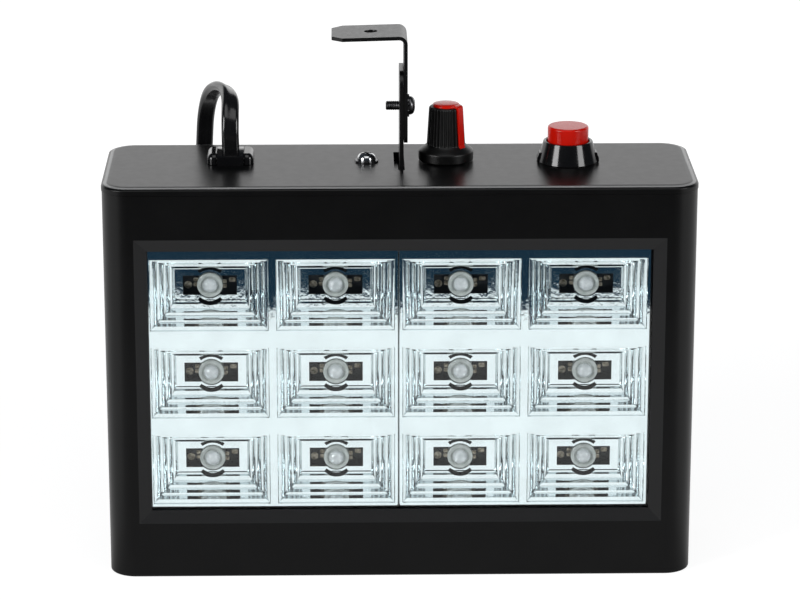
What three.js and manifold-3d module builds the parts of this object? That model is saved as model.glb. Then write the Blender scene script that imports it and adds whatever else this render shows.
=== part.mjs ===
// Small mains strobe light: a moulded housing with a clear window over twelve stepped
// reflector cells, a speed knob, a mode button, a hanging bracket and a flat mains cord.
// Millimetres, +X to the right, +Y to the rear, +Z up; the origin is the middle of the underside.
import * as THREE from 'three';
import { mergeVertices } from 'three/addons/utils/BufferGeometryUtils.js';
import Module from 'manifold-3d';

const wasm = await Module();
wasm.setup();

// Housing
const BOX_W = 175;
const BOX_D = 53.1;
const BOX_H = 120.7;
const CORNER_R = 8;
const WALL = 2;
const UNDERSIDE_EDGE = 0.6;
const LID_T = 2.2;
const LID_EDGE_R = 1.1;
const LID_OVERHANG = 0.15;
const LID_LIP_T = 1.5;
const LID_LIP_H = 2.5;
const SEAM_GAP = 0.1;
const FIT_GAP = 0.3;
const OVERRUN = 2;

// Window in the front wall, with a bevel that slopes inwards
const WINDOW_SIDE_MARGIN = 13.3;
const WINDOW_LOW_MARGIN = 20.8;
const WINDOW_TOP_MARGIN = 19.4;
const BEVEL_W = 2.6;
const BEVEL_DEPTH = 1.3;
const PANE_T = 1;
const PANE_MARGIN = 2.2;

// Reflector modules, two columns by three rows of cells each
const CELL_RIB_W = 1.7;
const CELL_BAND_H = 5.6;
const CELL_DEPTH = 8.6;
const CELL_STEP_W = 1.48;
const CELL_STEP_H = 1.2;
const CELL_FLOOR_T = 1;
const CELL_STEPS = 5;
const CELL_ROWS = 3;
const MODULE_COLUMNS = 2;
const STEP_DRAFT = 0.35;
const REFLECTOR_SKIN = 1.2;
const MODULE_SEAM = 0.2;
const MODULE_OVER_X = 0.2;
const MODULE_OVER_Z = 0.4;
const MODULE_MARGIN_Z = 0.35;
const MODULE_SHIFT_X = -0.5;
const MODULE_DROP = 0.85;
const LAMP_WELL_D = 12;
const LAMP_HOLE_D = 9;
const LAMP_SLOT_W = 16.2;
const LAMP_SLOT_H = 6.2;
const REFLECTOR_POST_D = 5;

// Emitters on their boards
const EMITTER_D = 8;
const EMITTER_H = 3.2;
const EMITTER_CHAMFER = 0.4;
const EMITTER_SETBACK = 0.2;
const DOME_D = 5.6;
const DOME_H = 2.2;
const LEG_W = 1.6;
const LEG_T = 0.5;
const LEG_REACH = 6.6;
const LEG_LIFT = 1;
const BOARD_T = 1.6;
const LED_BOARD_MARGIN_X = 3.4;
const LED_BOARD_MARGIN_Z = 11;
const BOSS_D = 6;
const BOSS_SETBACK = 5.15;
const BOSS_INSET_Z = 5.8;
const PILOT_D = 2.8;
const BOARD_SCREW_L = 8;

// Rear cover
const REAR_SIDE_MARGIN = 8.5;
const REAR_LOW_MARGIN = 6;
const REAR_TOP_MARGIN = 6.7;
const REAR_OPEN_R = 3;
const PAD_W = 10;
const PAD_H = 10;
const PAD_D = 9;
const REAR_SCREW_INSET_X = 4;
const REAR_SCREW_INSET_Z = 5;
const REAR_SCREW_L = 8;
const VENT_SLOTS = 6;
const VENT_W = 2.2;
const VENT_H = 24;
const VENT_PITCH = 5;
const VENT_GROUP_X = 42;
const VENT_TOP_MARGIN = 10;

// Driver board on four posts of the rear cover
const DRIVER_W = 112;
const DRIVER_X = -10;
const DRIVER_TOP_MARGIN = 2;
const DRIVER_LOW_MARGIN = 6;
const DRIVER_STANDOFF = 6.5;
const POST_D = 6;
const POST_INSET = 5;
const PIN_D = 2.4;
const PIN_STICK_OUT = 1;
const TRANSFORMER_W = 22;
const TRANSFORMER_H = 20;
const TRANSFORMER_D = 15;
const TRANSFORMER_CORE_H = 13;
const TRANSFORMER_WINDING_W = 13.6;
const TRANSFORMER_WINDING_R = 2.3;
const TRANSFORMER_END_T = 2.5;
const TRANSFORMER_X = 8;
const TRANSFORMER_LIFT = 3;
const CAPACITOR_D = 12.5;
const CAPACITOR_L = 15;
const CAPACITOR_GROOVE = 0.8;
const CAPACITOR_NECK_L = 2.6;
const CAPACITOR_X = -22;
const CAPACITOR_LIFT = 1;
const TERMINAL_W = 15.5;
const TERMINAL_H = 8;
const TERMINAL_D = 10;
const TERMINAL_X = -48;
const TERMINAL_INSET_Z = 10;
const TERMINAL_WELL_D = 3.6;

// Fasteners, M3
const SCREW_D = 2.5;
const SCREW_HEAD_D = 5.7;
const SCREW_HEAD_H = 2.1;
const WASHER_T = 0.5;
const M3_CLEAR_D = 3.3;
const RECESS_W = 0.8;
const RECESS_SPAN = 3.2;
const RECESS_DEPTH = 1;

// Bracket strip that comes up through the lid, and the hanging bracket on its pivot
const BRACKET_Y = 4.2;
const STRIP_X = 0.1;
const STRIP_T = 1.2;
const STRIP_W = 18;
const STRIP_RISE = 28.1;
const STRIP_END_R = 4.5;
const STRIP_FOOT_L = 15.5;
const STRIP_BEND_R = 0.5;
const SLOT_LENGTH = 21.3;
const SLOT_SPARE_X = 1.3;
const FOOT_SCREW_X = -9.65;
const FOOT_SCREW_L = 6;
const FOOT_WASHER_D = 7;
const PIVOT_RISE = 17.1;
const PIVOT_GAP = 0.1;
const PIVOT_HEAD_D = 5.3;
const PIVOT_HEAD_H = 1.6;
const PIVOT_WASHER_D = 6.7;
const PIVOT_TIP_X = -3.9;
const HANGER_T = 1.1;
const HANGER_W = 17.5;
const HANGER_RISE = 41;
const HANGER_LOW_RISE = 7.3;
const HANGER_REACH_X = -19.9;
const HANGER_BEND_R = 1.2;
const HANGER_END_CHAMFER = 3;
const HANGER_LOW_R = 2.5;
const HANGER_HOLE_D = 4;
const HANGER_HOLE_X = -8.3;

// Speed knob on its potentiometer
const KNOB_X = 14.1;
const KNOB_Y = 5.5;
const KNOB_LIFT = 0.4;
const KNOB_TURN_DEG = -35;
const SKIRT_D = 16.4;
const SKIRT_H = 2.9;
const SKIRT_EDGE = 0.4;
const FLARE_H = 1.6;
const FLARE_SHARES = [0.45, 0.18];
const GRIP_LOW_D = 11.6;
const GRIP_TOP_D = 10;
const GRIP_TOP_H = 16.7;
const GRIP_EDGE = 0.5;
const FLUTES = 24;
const FLUTE_DEPTH = 0.35;
const SHAFT_D = 6;
const SHAFT_BORE_D = 6.6;
const SHAFT_BORE_H = 13.5;
const CAP_DISC_D = 7.8;
const CAP_DISC_T = 0.8;
const CAP_EDGE = 0.25;
const POINTER_W = 1.7;
const POINTER_PROUD = 0.25;
const POINTER_T = 0.9;
const POINTER_FOOT_Z = 4.2;
const POT_BODY_D = 16.5;
const POT_BODY_H = 7.5;
const POT_BUSH_D = 7;
const POT_BUSH_H = 5.4;
const POT_BORE_D = 6.5;
const POT_BORE_DEPTH = 10;
const POT_TAG_W = 10;
const POT_TAG_T = 1.2;
const POT_TAG_L = 6;
const NUT_ACROSS = 10;
const NUT_T = 2;
const SHAFT_STEP = 0.6;

// Mode button
const BUTTON_X = 50.5;
const BUTTON_Y = 3.8;
const BEZEL_LOW_D = 18.6;
const BEZEL_TOP_D = 14.5;
const BEZEL_H = 6.4;
const BEZEL_FLOOR_T = 1.4;
const BEZEL_EDGE = 0.3;
const BEZEL_LUG_W = 4;
const BEZEL_LUG_H = 2.6;
const BEZEL_LUG_OUT = 0.25;
const NECK_D = 11.6;
const NECK_L = 9;
const NECK_BORE_D = 4.8;
const BUTTON_NUT_ACROSS = 15;
const BUTTON_NUT_T = 2;
const BUTTON_D = 12.2;
const BUTTON_BORE_D = 12.9;
const BUTTON_TOP_H = 10.85;
const BUTTON_TRAVEL = 2.5;
const BUTTON_EDGE = 0.6;
const STEM_D = 4;
const STEM_L = 9;
const SPRING_WELL_D = 9.4;
const SPRING_WELL_H = 4;
const SPRING_D = 7.6;
const SPRING_WIRE = 0.6;
const SPRING_CURLS = 4;
const SWITCH_W = 13;
const SWITCH_H = 12;
const SWITCH_WELL_D = 5;
const SWITCH_TAG_L = 4;
const SWITCH_TAG_W = 2;
const SWITCH_TAG_T = 0.6;
const SWITCH_TAG_PITCH = 5;

// Snap-in strain relief
const RELIEF_X = -50.2;
const RELIEF_Y = 5.4;
const RELIEF_W = 13.9;
const RELIEF_D = 11.4;
const RELIEF_H = 3.4;
const RELIEF_R = 3.4;
const RELIEF_EDGE = 0.8;
const RELIEF_BLOCK_W = 7.4;
const RELIEF_BLOCK_D = 12.1;
const RELIEF_BLOCK_EDGE = 0.4;
const RELIEF_NECK_W = 9.8;
const RELIEF_NECK_D = 7.6;
const RELIEF_NECK_R = 2;
const RELIEF_BARB = 0.7;
const RELIEF_TAIL_L = 9;

// Flat mains cord and its plug
const CORD_W = 5.2;
const CORD_T = 3;
const CORD_ROUND = 0.9;
const COIL_X = -29;
const COIL_Y = 102;
const COIL_INNER_R = 23.1;
const COIL_PITCH = 3.9;
const COIL_TURNS = 5.25;
const COIL_LOW_Z = 3.9;
const COIL_LAYER = 5.9;
const COIL_CLIMB_TURNS = 0.5;
const COIL_EASE_TURNS = 0.1;
const NEAR_TURNS = 0.0001;
const LEAD_TWIST_SHARE = 0.86;
const TIE_T = 0.8;
const TIE_L = 4;
const TIE_GAP = 0.45;
const TIE_ANGLE_DEG = -60;
const PLUG_X = 30;
const PLUG_Y = 92;
const PLUG_W = 35.3;
const PLUG_H = 13.7;
const PLUG_L = 36;
const PLUG_SNOUT_L = 16;
const PLUG_SNOUT_D = 9;
const PLUG_SNOUT_TIP_D = 7.2;
const PLUG_GRIP_L = 16;
const PLUG_WAIST_L = 29;
const PLUG_WAIST_W = 22;
const PLUG_END_W = 12.6;
const PLUG_END_H = 12.4;
const PLUG_FACE_W = 26;
const PLUG_FACE_L = 6;
const PLUG_R = 4;
const PIN_LENGTH = 19;
const PIN_THICK = 4;
const PIN_SPACING = 18.6;
const PIN_TIP = 0.8;

// Leads inside the housing
const WIRE_D = 2.4;
const THIN_WIRE_D = 1.6;
const WIRE_REACH = 8;
const LED_LEAD_INSET = 5.2;
const LED_LEAD_DROP = 32.2;
const LEAD_INSET = 4;
const LEAD_OFFSET_Z = 15;
const POT_LEAD_X = 12;
const SWITCH_LEAD_X = 38;

// Facets
const CORNER_FACETS = 5;
const ROUND_FACETS = 24;
const SMALL_FACETS = 16;
const EMITTER_FACETS = 12;
const TINY_FACETS = 10;
const EDGE_FACETS = 3;
const SLOT_FACETS = 2;
const CORD_SIDES = 8;
const COIL_SIDES = 6;
const COIL_STEPS_A_TURN = 24;
const CORD_LEAD_STEPS = 32;
const CORD_TAIL_STEPS = 14;
const INNER_CORD_STEPS = 8;
const WIRE_SIDES = 6;
const WIRE_STEPS = 10;
const SPRING_SIDES = 5;
const SPRING_STEPS_A_CURL = 8;
const WELD_DISTANCE = 0.0001;

// The route of the cord's free stretch, from the strain relief over the back and down to the floor
const LEAD_ROUTE = [
  [-50.2, 5.4, 124.4],
  [-50.4, 5.6, 129.5],
  [-51.2, 7.6, 134.6],
  [-52.5, 12.4, 138.6],
  [-54.3, 19, 140],
  [-56.2, 26.4, 139.2],
  [-57.6, 33, 135],
  [-58.6, 37.4, 127.5],
  [-59.4, 39.4, 117],
  [-60.2, 40.4, 100],
  [-60.9, 40.8, 80],
  [-61.4, 41.1, 60],
  [-61.8, 42, 42],
  [-62, 44.6, 26],
  [-62.2, 50, 13.5],
  [-62.3, 58.4, 5],
  [-62.35, 67, 2.3],
  [-62.4, 76, 2.6],
  [-62.45, 84, 3.3],
];

// The route of the tail, from the coil round to the plug
const TAIL_ROUTE = [
  [-12, 135.6, 9.4],
  [-2, 135.6, 9],
  [9.2, 135.3, 8.4],
  [17.2, 133.7, 7.8],
  [23.9, 129.2, 7.3],
  [28.4, 122.5, 7],
];

// Worked out from the sizes above
const SHELL_W = BOX_W - 2 * LID_OVERHANG;
const SHELL_D = BOX_D - 2 * LID_OVERHANG;
const SHELL_TOP = BOX_H - LID_T - SEAM_GAP;
const FACE_Y = -SHELL_D / 2;
const WALL_BACK_Y = FACE_Y + WALL;
const PANE_Y = WALL_BACK_Y + SEAM_GAP;
const REFLECTOR_Y = PANE_Y + PANE_T + SEAM_GAP;
const CELL_BACK_Y = REFLECTOR_Y + CELL_DEPTH + CELL_FLOOR_T;
const LED_BOARD_Y = CELL_BACK_Y + EMITTER_SETBACK + EMITTER_H;
const COVER_Y = SHELL_D / 2 - WALL;
const DRIVER_Y = COVER_Y - DRIVER_STANDOFF - BOARD_T;
const LID_UNDER_Z = BOX_H - LID_T;
const WINDOW_W = BOX_W - 2 * WINDOW_SIDE_MARGIN;
const WINDOW_H = BOX_H - WINDOW_LOW_MARGIN - WINDOW_TOP_MARGIN;
const WINDOW_Z = WINDOW_LOW_MARGIN + WINDOW_H / 2;
const CELL_PITCH_X = (WINDOW_W + 2 * MODULE_OVER_X) / (2 * MODULE_COLUMNS);
const CELL_PITCH_Z = (WINDOW_H + 2 * MODULE_OVER_Z) / CELL_ROWS;
const CELL_W = CELL_PITCH_X - CELL_RIB_W;
const CELL_H = CELL_PITCH_Z - CELL_BAND_H;
const CELL_FLOOR_W = CELL_W - 2 * CELL_STEPS * CELL_STEP_W;
const CELL_FLOOR_H = CELL_H - 2 * CELL_STEPS * CELL_STEP_H;
const MODULE_W = MODULE_COLUMNS * CELL_PITCH_X - MODULE_SEAM;
const MODULE_H = CELL_ROWS * CELL_PITCH_Z + 2 * MODULE_MARGIN_Z;
const MODULE_PITCH = MODULE_COLUMNS * CELL_PITCH_X;
const MODULE_Z = WINDOW_Z - MODULE_DROP;
const LED_BOARD_H = MODULE_H + 2 * LED_BOARD_MARGIN_Z;
const BOSS_X = SHELL_W / 2 - WALL - BOSS_SETBACK;
const BOSS_PITCH_Z = LED_BOARD_H - 2 * BOSS_INSET_Z;
const REAR_OPEN_W = BOX_W - 2 * REAR_SIDE_MARGIN;
const REAR_OPEN_H = BOX_H - REAR_LOW_MARGIN - REAR_TOP_MARGIN;
const REAR_OPEN_Z = REAR_LOW_MARGIN + REAR_OPEN_H / 2;
const REAR_SCREW_X = REAR_OPEN_W / 2 - REAR_SCREW_INSET_X;
const VENT_Z = REAR_OPEN_Z + REAR_OPEN_H / 2 - VENT_TOP_MARGIN - VENT_H / 2;
const DRIVER_TOP_Z = VENT_Z - VENT_H / 2 - DRIVER_TOP_MARGIN;
const DRIVER_LOW_Z = REAR_LOW_MARGIN + DRIVER_LOW_MARGIN;
const DRIVER_H = DRIVER_TOP_Z - DRIVER_LOW_Z;
const DRIVER_Z = (DRIVER_TOP_Z + DRIVER_LOW_Z) / 2;
const TERMINAL_Z = DRIVER_TOP_Z - TERMINAL_INSET_Z;
const STRIP_TOP_Z = BOX_H + STRIP_RISE;
const PIVOT_Z = BOX_H + PIVOT_RISE;
const HANGER_TOP_Z = BOX_H + HANGER_RISE;
const HANGER_LOW_Z = BOX_H + HANGER_LOW_RISE;
const REAR_SCREW_PITCH_Z = REAR_OPEN_H - 2 * REAR_SCREW_INSET_Z;
const SKIRT_BORE_D = NUT_ACROSS / Math.cos(Math.PI / 6) + 3 * FIT_GAP;
const SKIRT_BORE_H = POT_BUSH_H - LID_T - KNOB_LIFT + FIT_GAP;
const COIL_MIDDLE = COIL_TURNS / 2;
const COIL_OUTER_R = COIL_INNER_R + COIL_PITCH * COIL_MIDDLE;

// Finishes
function finish(color, roughness, metalness = 0) {
  return new THREE.MeshStandardMaterial({ color, roughness, metalness });
}

const satinBlack = finish(0x1a1a1b, 0.38);
const glossBlack = finish(0x0b0b0c, 0.12);
const mattBlack = finish(0x1c1c1c, 0.62);
const cordBlack = finish(0x0e0e0e, 0.3);
const signalRed = finish(0xc4140a, 0.25);
const clearPlastic = finish(0xf4f8fa, 0.05);
const mirrored = finish(0xe6edf0, 0.08, 1);
const boardBlack = finish(0x15171a, 0.45);
const boardGreen = finish(0x1f5a37, 0.5);
const emitterGrey = finish(0xa9aba4, 0.3);
const blackSteel = finish(0x141414, 0.4, 0.6);
const chromed = finish(0xd8dadd, 0.12, 1);
const zincPlated = finish(0xb4b6b6, 0.35, 1);
const springSteel = finish(0xa0a2a4, 0.3, 1);
const tapeYellow = finish(0xc9a227, 0.55);
const sleeveBlue = finish(0x223a78, 0.35);
const terminalGreen = finish(0x2e7d4f, 0.5);
const switchBrown = finish(0x2b2724, 0.5);

// Shapes and solids
function roundedOutline(width, depth, radius, steps = CORNER_FACETS) {
  const outline = [];
  for (let corner = 0; corner < 4; corner += 1) {
    const signX = corner === 0 || corner === 3 ? 1 : -1;
    const signY = corner < 2 ? 1 : -1;
    for (let step = 0; step <= steps; step += 1) {
      const angle = (corner + step / steps) * (Math.PI / 2);
      const x = signX * (width / 2 - radius) + radius * Math.cos(angle);
      const y = signY * (depth / 2 - radius) + radius * Math.sin(angle);
      outline.push(new THREE.Vector2(x, y));
    }
  }
  return outline;
}

function rectangle(width, depth) {
  const x = width / 2;
  const y = depth / 2;
  return [[x, y], [-x, y], [-x, -y], [x, -y]].map(([px, py]) => new THREE.Vector2(px, py));
}

function circle(diameter, facets = ROUND_FACETS) {
  return Array.from({ length: facets }, (_, i) => {
    const angle = (i / facets) * 2 * Math.PI;
    return new THREE.Vector2(Math.cos(angle), Math.sin(angle)).multiplyScalar(diameter / 2);
  });
}

function hexagon(across) {
  return circle(across / Math.cos(Math.PI / 6), 6);
}

// Joins outlines of equal point counts, each at its own height, into one closed solid
function loft(sections) {
  const count = sections[0].outline.length;
  const positions = sections.flatMap(({ outline, z }) => outline.flatMap((p) => [p.x, p.y, z]));
  const index = [];
  for (let row = 0; row < sections.length - 1; row += 1) {
    for (let i = 0; i < count; i += 1) {
      const a = row * count + i;
      const b = row * count + ((i + 1) % count);
      index.push(a, b, b + count, a, b + count, a + count);
    }
  }
  const last = (sections.length - 1) * count;
  const bottom = THREE.ShapeUtils.triangulateShape(sections[0].outline, []);
  const top = THREE.ShapeUtils.triangulateShape(sections[sections.length - 1].outline, []);
  bottom.forEach(([a, b, c]) => index.push(c, b, a));
  top.forEach(([a, b, c]) => index.push(last + a, last + b, last + c));
  const geometry = new THREE.BufferGeometry();
  geometry.setAttribute('position', new THREE.Float32BufferAttribute(positions, 3));
  geometry.setIndex(index);
  return geometry;
}

function prism(outline, low, high) {
  return loft([{ outline, z: low }, { outline, z: high }]);
}

function block(x0, x1, y0, y1, z0, z1) {
  const geometry = prism(rectangle(x1 - x0, y1 - y0), z0, z1);
  return geometry.translate((x0 + x1) / 2, (y0 + y1) / 2, 0);
}

// A turned solid about +Z, from [radius, height] pairs that start and end on the axis or close
function turned(profile, facets = ROUND_FACETS) {
  const points = profile.map(([r, z]) => new THREE.Vector2(r, z));
  return new THREE.LatheGeometry(points, facets).rotateX(Math.PI / 2);
}

// Turns a shape drawn in X and Z, with its depth as height, so that its depth runs towards the front
function facingFront(geometry) {
  return geometry.rotateX(Math.PI / 2);
}

function facingRear(geometry) {
  return geometry.rotateX(-Math.PI / 2);
}

function facingRight(geometry) {
  return geometry.rotateY(Math.PI / 2);
}

function toSolid(geometry) {
  const bare = geometry.clone();
  bare.deleteAttribute('normal');
  bare.deleteAttribute('uv');
  const merged = mergeVertices(bare, WELD_DISTANCE);
  const vertProperties = new Float32Array(merged.attributes.position.array);
  const triVerts = new Uint32Array(merged.index.array);
  return new wasm.Manifold(new wasm.Mesh({ numProp: 3, vertProperties, triVerts }));
}

function toGeometry(solid) {
  const mesh = solid.getMesh();
  const geometry = new THREE.BufferGeometry();
  const positions = Float32Array.from(mesh.vertProperties);
  geometry.setAttribute('position', new THREE.BufferAttribute(positions, 3));
  geometry.setIndex(new THREE.BufferAttribute(Uint32Array.from(mesh.triVerts), 1));
  geometry.computeVertexNormals();
  return geometry;
}

function join(geometries) {
  return geometries.map(toSolid).reduce((all, next) => all.add(next));
}

function shaped(base, added = [], cuts = []) {
  let solid = join([base, ...added]);
  cuts.forEach((cut) => {
    solid = solid.subtract(toSolid(cut));
  });
  return toGeometry(solid);
}

function clipped(base, limits, cuts = []) {
  let solid = toSolid(base);
  limits.forEach((limit) => {
    solid = solid.intersect(toSolid(limit));
  });
  cuts.forEach((cut) => {
    solid = solid.subtract(toSolid(cut));
  });
  return toGeometry(solid);
}

function place(parent, name, geometry, material, x = 0, y = 0, z = 0) {
  const mesh = new THREE.Mesh(geometry, material);
  mesh.name = name;
  mesh.position.set(x, y, z);
  parent.add(mesh);
  return mesh;
}

function hole(diameter, x, y, low, high, facets = SMALL_FACETS) {
  return prism(circle(diameter, facets), low, high).translate(x, y, 0);
}

// Places that repeat
function fourCorners(middleX, middleZ, pitchX, pitchZ) {
  return [-1, 1].flatMap((sideX) => [-1, 1].map((sideZ) => [
    middleX + (sideX * pitchX) / 2,
    middleZ + (sideZ * pitchZ) / 2,
  ]));
}

const bossPlaces = fourCorners(0, MODULE_Z, 2 * BOSS_X, BOSS_PITCH_Z);
const rearScrewPlaces = fourCorners(0, REAR_OPEN_Z, 2 * REAR_SCREW_X, REAR_SCREW_PITCH_Z);
const driverPosts = fourCorners(
  DRIVER_X,
  DRIVER_Z,
  DRIVER_W - 2 * POST_INSET,
  DRIVER_H - 2 * POST_INSET,
);

function cellCentres() {
  const centres = [];
  for (let row = 0; row < CELL_ROWS; row += 1) {
    for (let column = 0; column < MODULE_COLUMNS; column += 1) {
      const x = (column - (MODULE_COLUMNS - 1) / 2) * CELL_PITCH_X;
      const z = ((CELL_ROWS - 1) / 2 - row) * CELL_PITCH_Z;
      centres.push([x, z]);
    }
  }
  return centres;
}

// Front shell: front wall, sides, underside and the rim of the rear opening, in one moulding
function frontShell() {
  const outer = loft([
    {
      outline: roundedOutline(
        SHELL_W - 2 * UNDERSIDE_EDGE,
        SHELL_D - 2 * UNDERSIDE_EDGE,
        CORNER_R - UNDERSIDE_EDGE,
      ),
      z: 0,
    },
    { outline: roundedOutline(SHELL_W, SHELL_D, CORNER_R), z: UNDERSIDE_EDGE },
    { outline: roundedOutline(SHELL_W, SHELL_D, CORNER_R), z: SHELL_TOP },
  ]);
  const insideOutline = roundedOutline(SHELL_W - 2 * WALL, SHELL_D - 2 * WALL, CORNER_R - WALL);
  const inside = prism(insideOutline, WALL, SHELL_TOP + OVERRUN);
  const slope = BEVEL_W / BEVEL_DEPTH;
  const windowCut = loft([
    { outline: rectangle(WINDOW_W, WINDOW_H), z: -OVERRUN },
    { outline: rectangle(WINDOW_W, WINDOW_H), z: WALL - BEVEL_DEPTH },
    {
      outline: rectangle(
        WINDOW_W + 2 * (BEVEL_W + slope * OVERRUN),
        WINDOW_H + 2 * (BEVEL_W + slope * OVERRUN),
      ),
      z: WALL + OVERRUN,
    },
  ]);
  facingFront(windowCut).translate(0, WALL_BACK_Y, WINDOW_Z);
  const rearCut = facingRear(
    prism(roundedOutline(REAR_OPEN_W, REAR_OPEN_H, REAR_OPEN_R), -OVERRUN, WALL + OVERRUN),
  ).translate(0, COVER_Y, REAR_OPEN_Z);
  const sideInside = SHELL_W / 2 - WALL;
  const bosses = bossPlaces.map(([x, z]) => facingRear(
    prism(circle(BOSS_D, SMALL_FACETS), WALL_BACK_Y - WALL / 2, LED_BOARD_Y - SEAM_GAP),
  ).translate(x, 0, z));
  const bossBores = bossPlaces.map(([x, z]) => facingRear(
    prism(circle(PILOT_D, TINY_FACETS), WALL_BACK_Y + WALL, LED_BOARD_Y + OVERRUN),
  ).translate(x, 0, z));
  const pads = rearScrewPlaces.map(([x, z]) => {
    const inner = Math.sign(x) * (REAR_SCREW_X - PAD_W / 2);
    const outerX = Math.sign(x) * (sideInside + WALL / 2);
    return block(
      Math.min(inner, outerX),
      Math.max(inner, outerX),
      COVER_Y - SEAM_GAP - PAD_D,
      COVER_Y - SEAM_GAP,
      z - PAD_H / 2,
      z + PAD_H / 2,
    );
  });
  const padBores = rearScrewPlaces.map(([x, z]) => facingRear(
    prism(circle(PILOT_D, TINY_FACETS), COVER_Y - REAR_SCREW_L, COVER_Y + OVERRUN),
  ).translate(x, 0, z));
  const hollow = toSolid(outer).subtract(toSolid(inside));
  const outerLimit = toSolid(prism(roundedOutline(SHELL_W, SHELL_D, CORNER_R), 0, SHELL_TOP));
  const inner = join([...bosses, ...pads]).intersect(outerLimit);
  const cuts = join([windowCut]).add(join([rearCut]).subtract(join(pads)));
  return toGeometry(hollow.add(inner).subtract(cuts).subtract(join([...bossBores, ...padBores])));
}

// Lid: a plate with a rounded upper edge and a locating lip inside the shell
function topPlate() {
  const sections = [
    { outline: roundedOutline(BOX_W, BOX_D, CORNER_R), z: LID_UNDER_Z },
    { outline: roundedOutline(BOX_W, BOX_D, CORNER_R), z: BOX_H - LID_EDGE_R },
  ];
  for (let step = 1; step <= EDGE_FACETS; step += 1) {
    const angle = (step / EDGE_FACETS) * (Math.PI / 2);
    const inset = LID_EDGE_R * (1 - Math.cos(angle));
    sections.push({
      outline: roundedOutline(BOX_W - 2 * inset, BOX_D - 2 * inset, CORNER_R - inset),
      z: BOX_H - LID_EDGE_R + LID_EDGE_R * Math.sin(angle),
    });
  }
  const lipInset = LID_OVERHANG + WALL + FIT_GAP;
  const lipOutline = roundedOutline(BOX_W - 2 * lipInset, BOX_D - 2 * lipInset, CORNER_R - lipInset);
  const lipInside = roundedOutline(
    BOX_W - 2 * (lipInset + LID_LIP_T),
    BOX_D - 2 * (lipInset + LID_LIP_T),
    CORNER_R - lipInset - LID_LIP_T,
  );
  const lipLow = LID_UNDER_Z - LID_LIP_H;
  const lip = prism(lipOutline, lipLow, LID_UNDER_Z + LID_T / 2);
  const low = lipLow - OVERRUN;
  const high = BOX_H + OVERRUN;
  const slotX = STRIP_X + (STRIP_T - SLOT_SPARE_X) / 2;
  const slotW = STRIP_T + SLOT_SPARE_X + 2 * FIT_GAP;
  const reliefHole = roundedOutline(
    RELIEF_NECK_W + 2 * FIT_GAP,
    RELIEF_NECK_D + 2 * FIT_GAP,
    RELIEF_NECK_R + FIT_GAP,
    EDGE_FACETS,
  );
  return shaped(loft(sections), [lip], [
    prism(lipInside, low, LID_UNDER_Z),
    prism(reliefHole, low, high).translate(RELIEF_X, RELIEF_Y, 0),
    block(
      slotX - slotW / 2,
      slotX + slotW / 2,
      BRACKET_Y - SLOT_LENGTH / 2,
      BRACKET_Y + SLOT_LENGTH / 2,
      low,
      high,
    ),
    hole(M3_CLEAR_D, FOOT_SCREW_X, BRACKET_Y, low, high),
    hole(POT_BUSH_D + 2 * FIT_GAP, KNOB_X, KNOB_Y, low, high, ROUND_FACETS),
    hole(NECK_D + 2 * FIT_GAP, BUTTON_X, BUTTON_Y, low, high, ROUND_FACETS),
  ]);
}

// Rear cover: flush in the shell's opening, with two groups of vent slots and posts for the driver board
function rearCover() {
  const plateOutline = roundedOutline(
    REAR_OPEN_W - 2 * FIT_GAP,
    REAR_OPEN_H - 2 * FIT_GAP,
    REAR_OPEN_R - FIT_GAP,
  );
  const plate = facingRear(prism(plateOutline, 0, WALL)).translate(0, COVER_Y, REAR_OPEN_Z);
  const posts = driverPosts.flatMap(([x, z]) => [
    facingFront(prism(circle(POST_D, TINY_FACETS), -WALL / 2, DRIVER_STANDOFF - SEAM_GAP)),
    facingFront(
      prism(circle(PIN_D, TINY_FACETS), -WALL / 2, DRIVER_STANDOFF + BOARD_T + PIN_STICK_OUT),
    ),
  ].map((post) => post.translate(x, COVER_Y, z)));
  const screwHoles = rearScrewPlaces.map(([x, z]) => facingRear(
    prism(circle(M3_CLEAR_D, TINY_FACETS), -OVERRUN, WALL + OVERRUN),
  ).translate(x, COVER_Y, z));
  const vents = [-VENT_GROUP_X, VENT_GROUP_X].flatMap((groupX) => {
    const slots = [];
    for (let i = 0; i < VENT_SLOTS; i += 1) {
      const x = groupX + (i - (VENT_SLOTS - 1) / 2) * VENT_PITCH;
      const outline = roundedOutline(VENT_W, VENT_H, VENT_W / 2, SLOT_FACETS);
      slots.push(facingRear(prism(outline, -OVERRUN, WALL + OVERRUN)).translate(x, COVER_Y, VENT_Z));
    }
    return slots;
  });
  return shaped(plate, posts, [...screwHoles, ...vents]);
}

// Clear window pane, held between the front wall and the reflectors
function windowPane() {
  return facingRear(
    prism(rectangle(WINDOW_W + 2 * PANE_MARGIN, WINDOW_H + 2 * PANE_MARGIN), 0, PANE_T),
  );
}

// One reflector cell, as the cavity that its stepped walls leave, opening towards the front
function cellCavity() {
  const sections = [];
  const stepX = (CELL_W - CELL_FLOOR_W) / 2 / CELL_STEPS;
  const stepZ = (CELL_H - CELL_FLOOR_H) / 2 / CELL_STEPS;
  const stepY = CELL_DEPTH / CELL_STEPS;
  for (let step = CELL_STEPS; step > 0; step -= 1) {
    const wide = CELL_FLOOR_W + 2 * stepX * step;
    const tall = CELL_FLOOR_H + 2 * stepZ * step;
    const low = -CELL_DEPTH + stepY * (step - 1);
    const tread = { wide: wide - 2 * STEP_DRAFT, tall: tall - 2 * STEP_DRAFT, low };
    sections.unshift({ outline: rectangle(wide, tall), z: low + stepY });
    sections.unshift({ outline: rectangle(tread.wide, tread.tall), z: tread.low + STEP_DRAFT });
  }
  sections.unshift({ outline: rectangle(CELL_FLOOR_W, CELL_FLOOR_H), z: -CELL_DEPTH });
  const mouth = sections[sections.length - 1].outline;
  sections.push({ outline: mouth, z: OVERRUN });
  return loft(sections);
}

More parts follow.
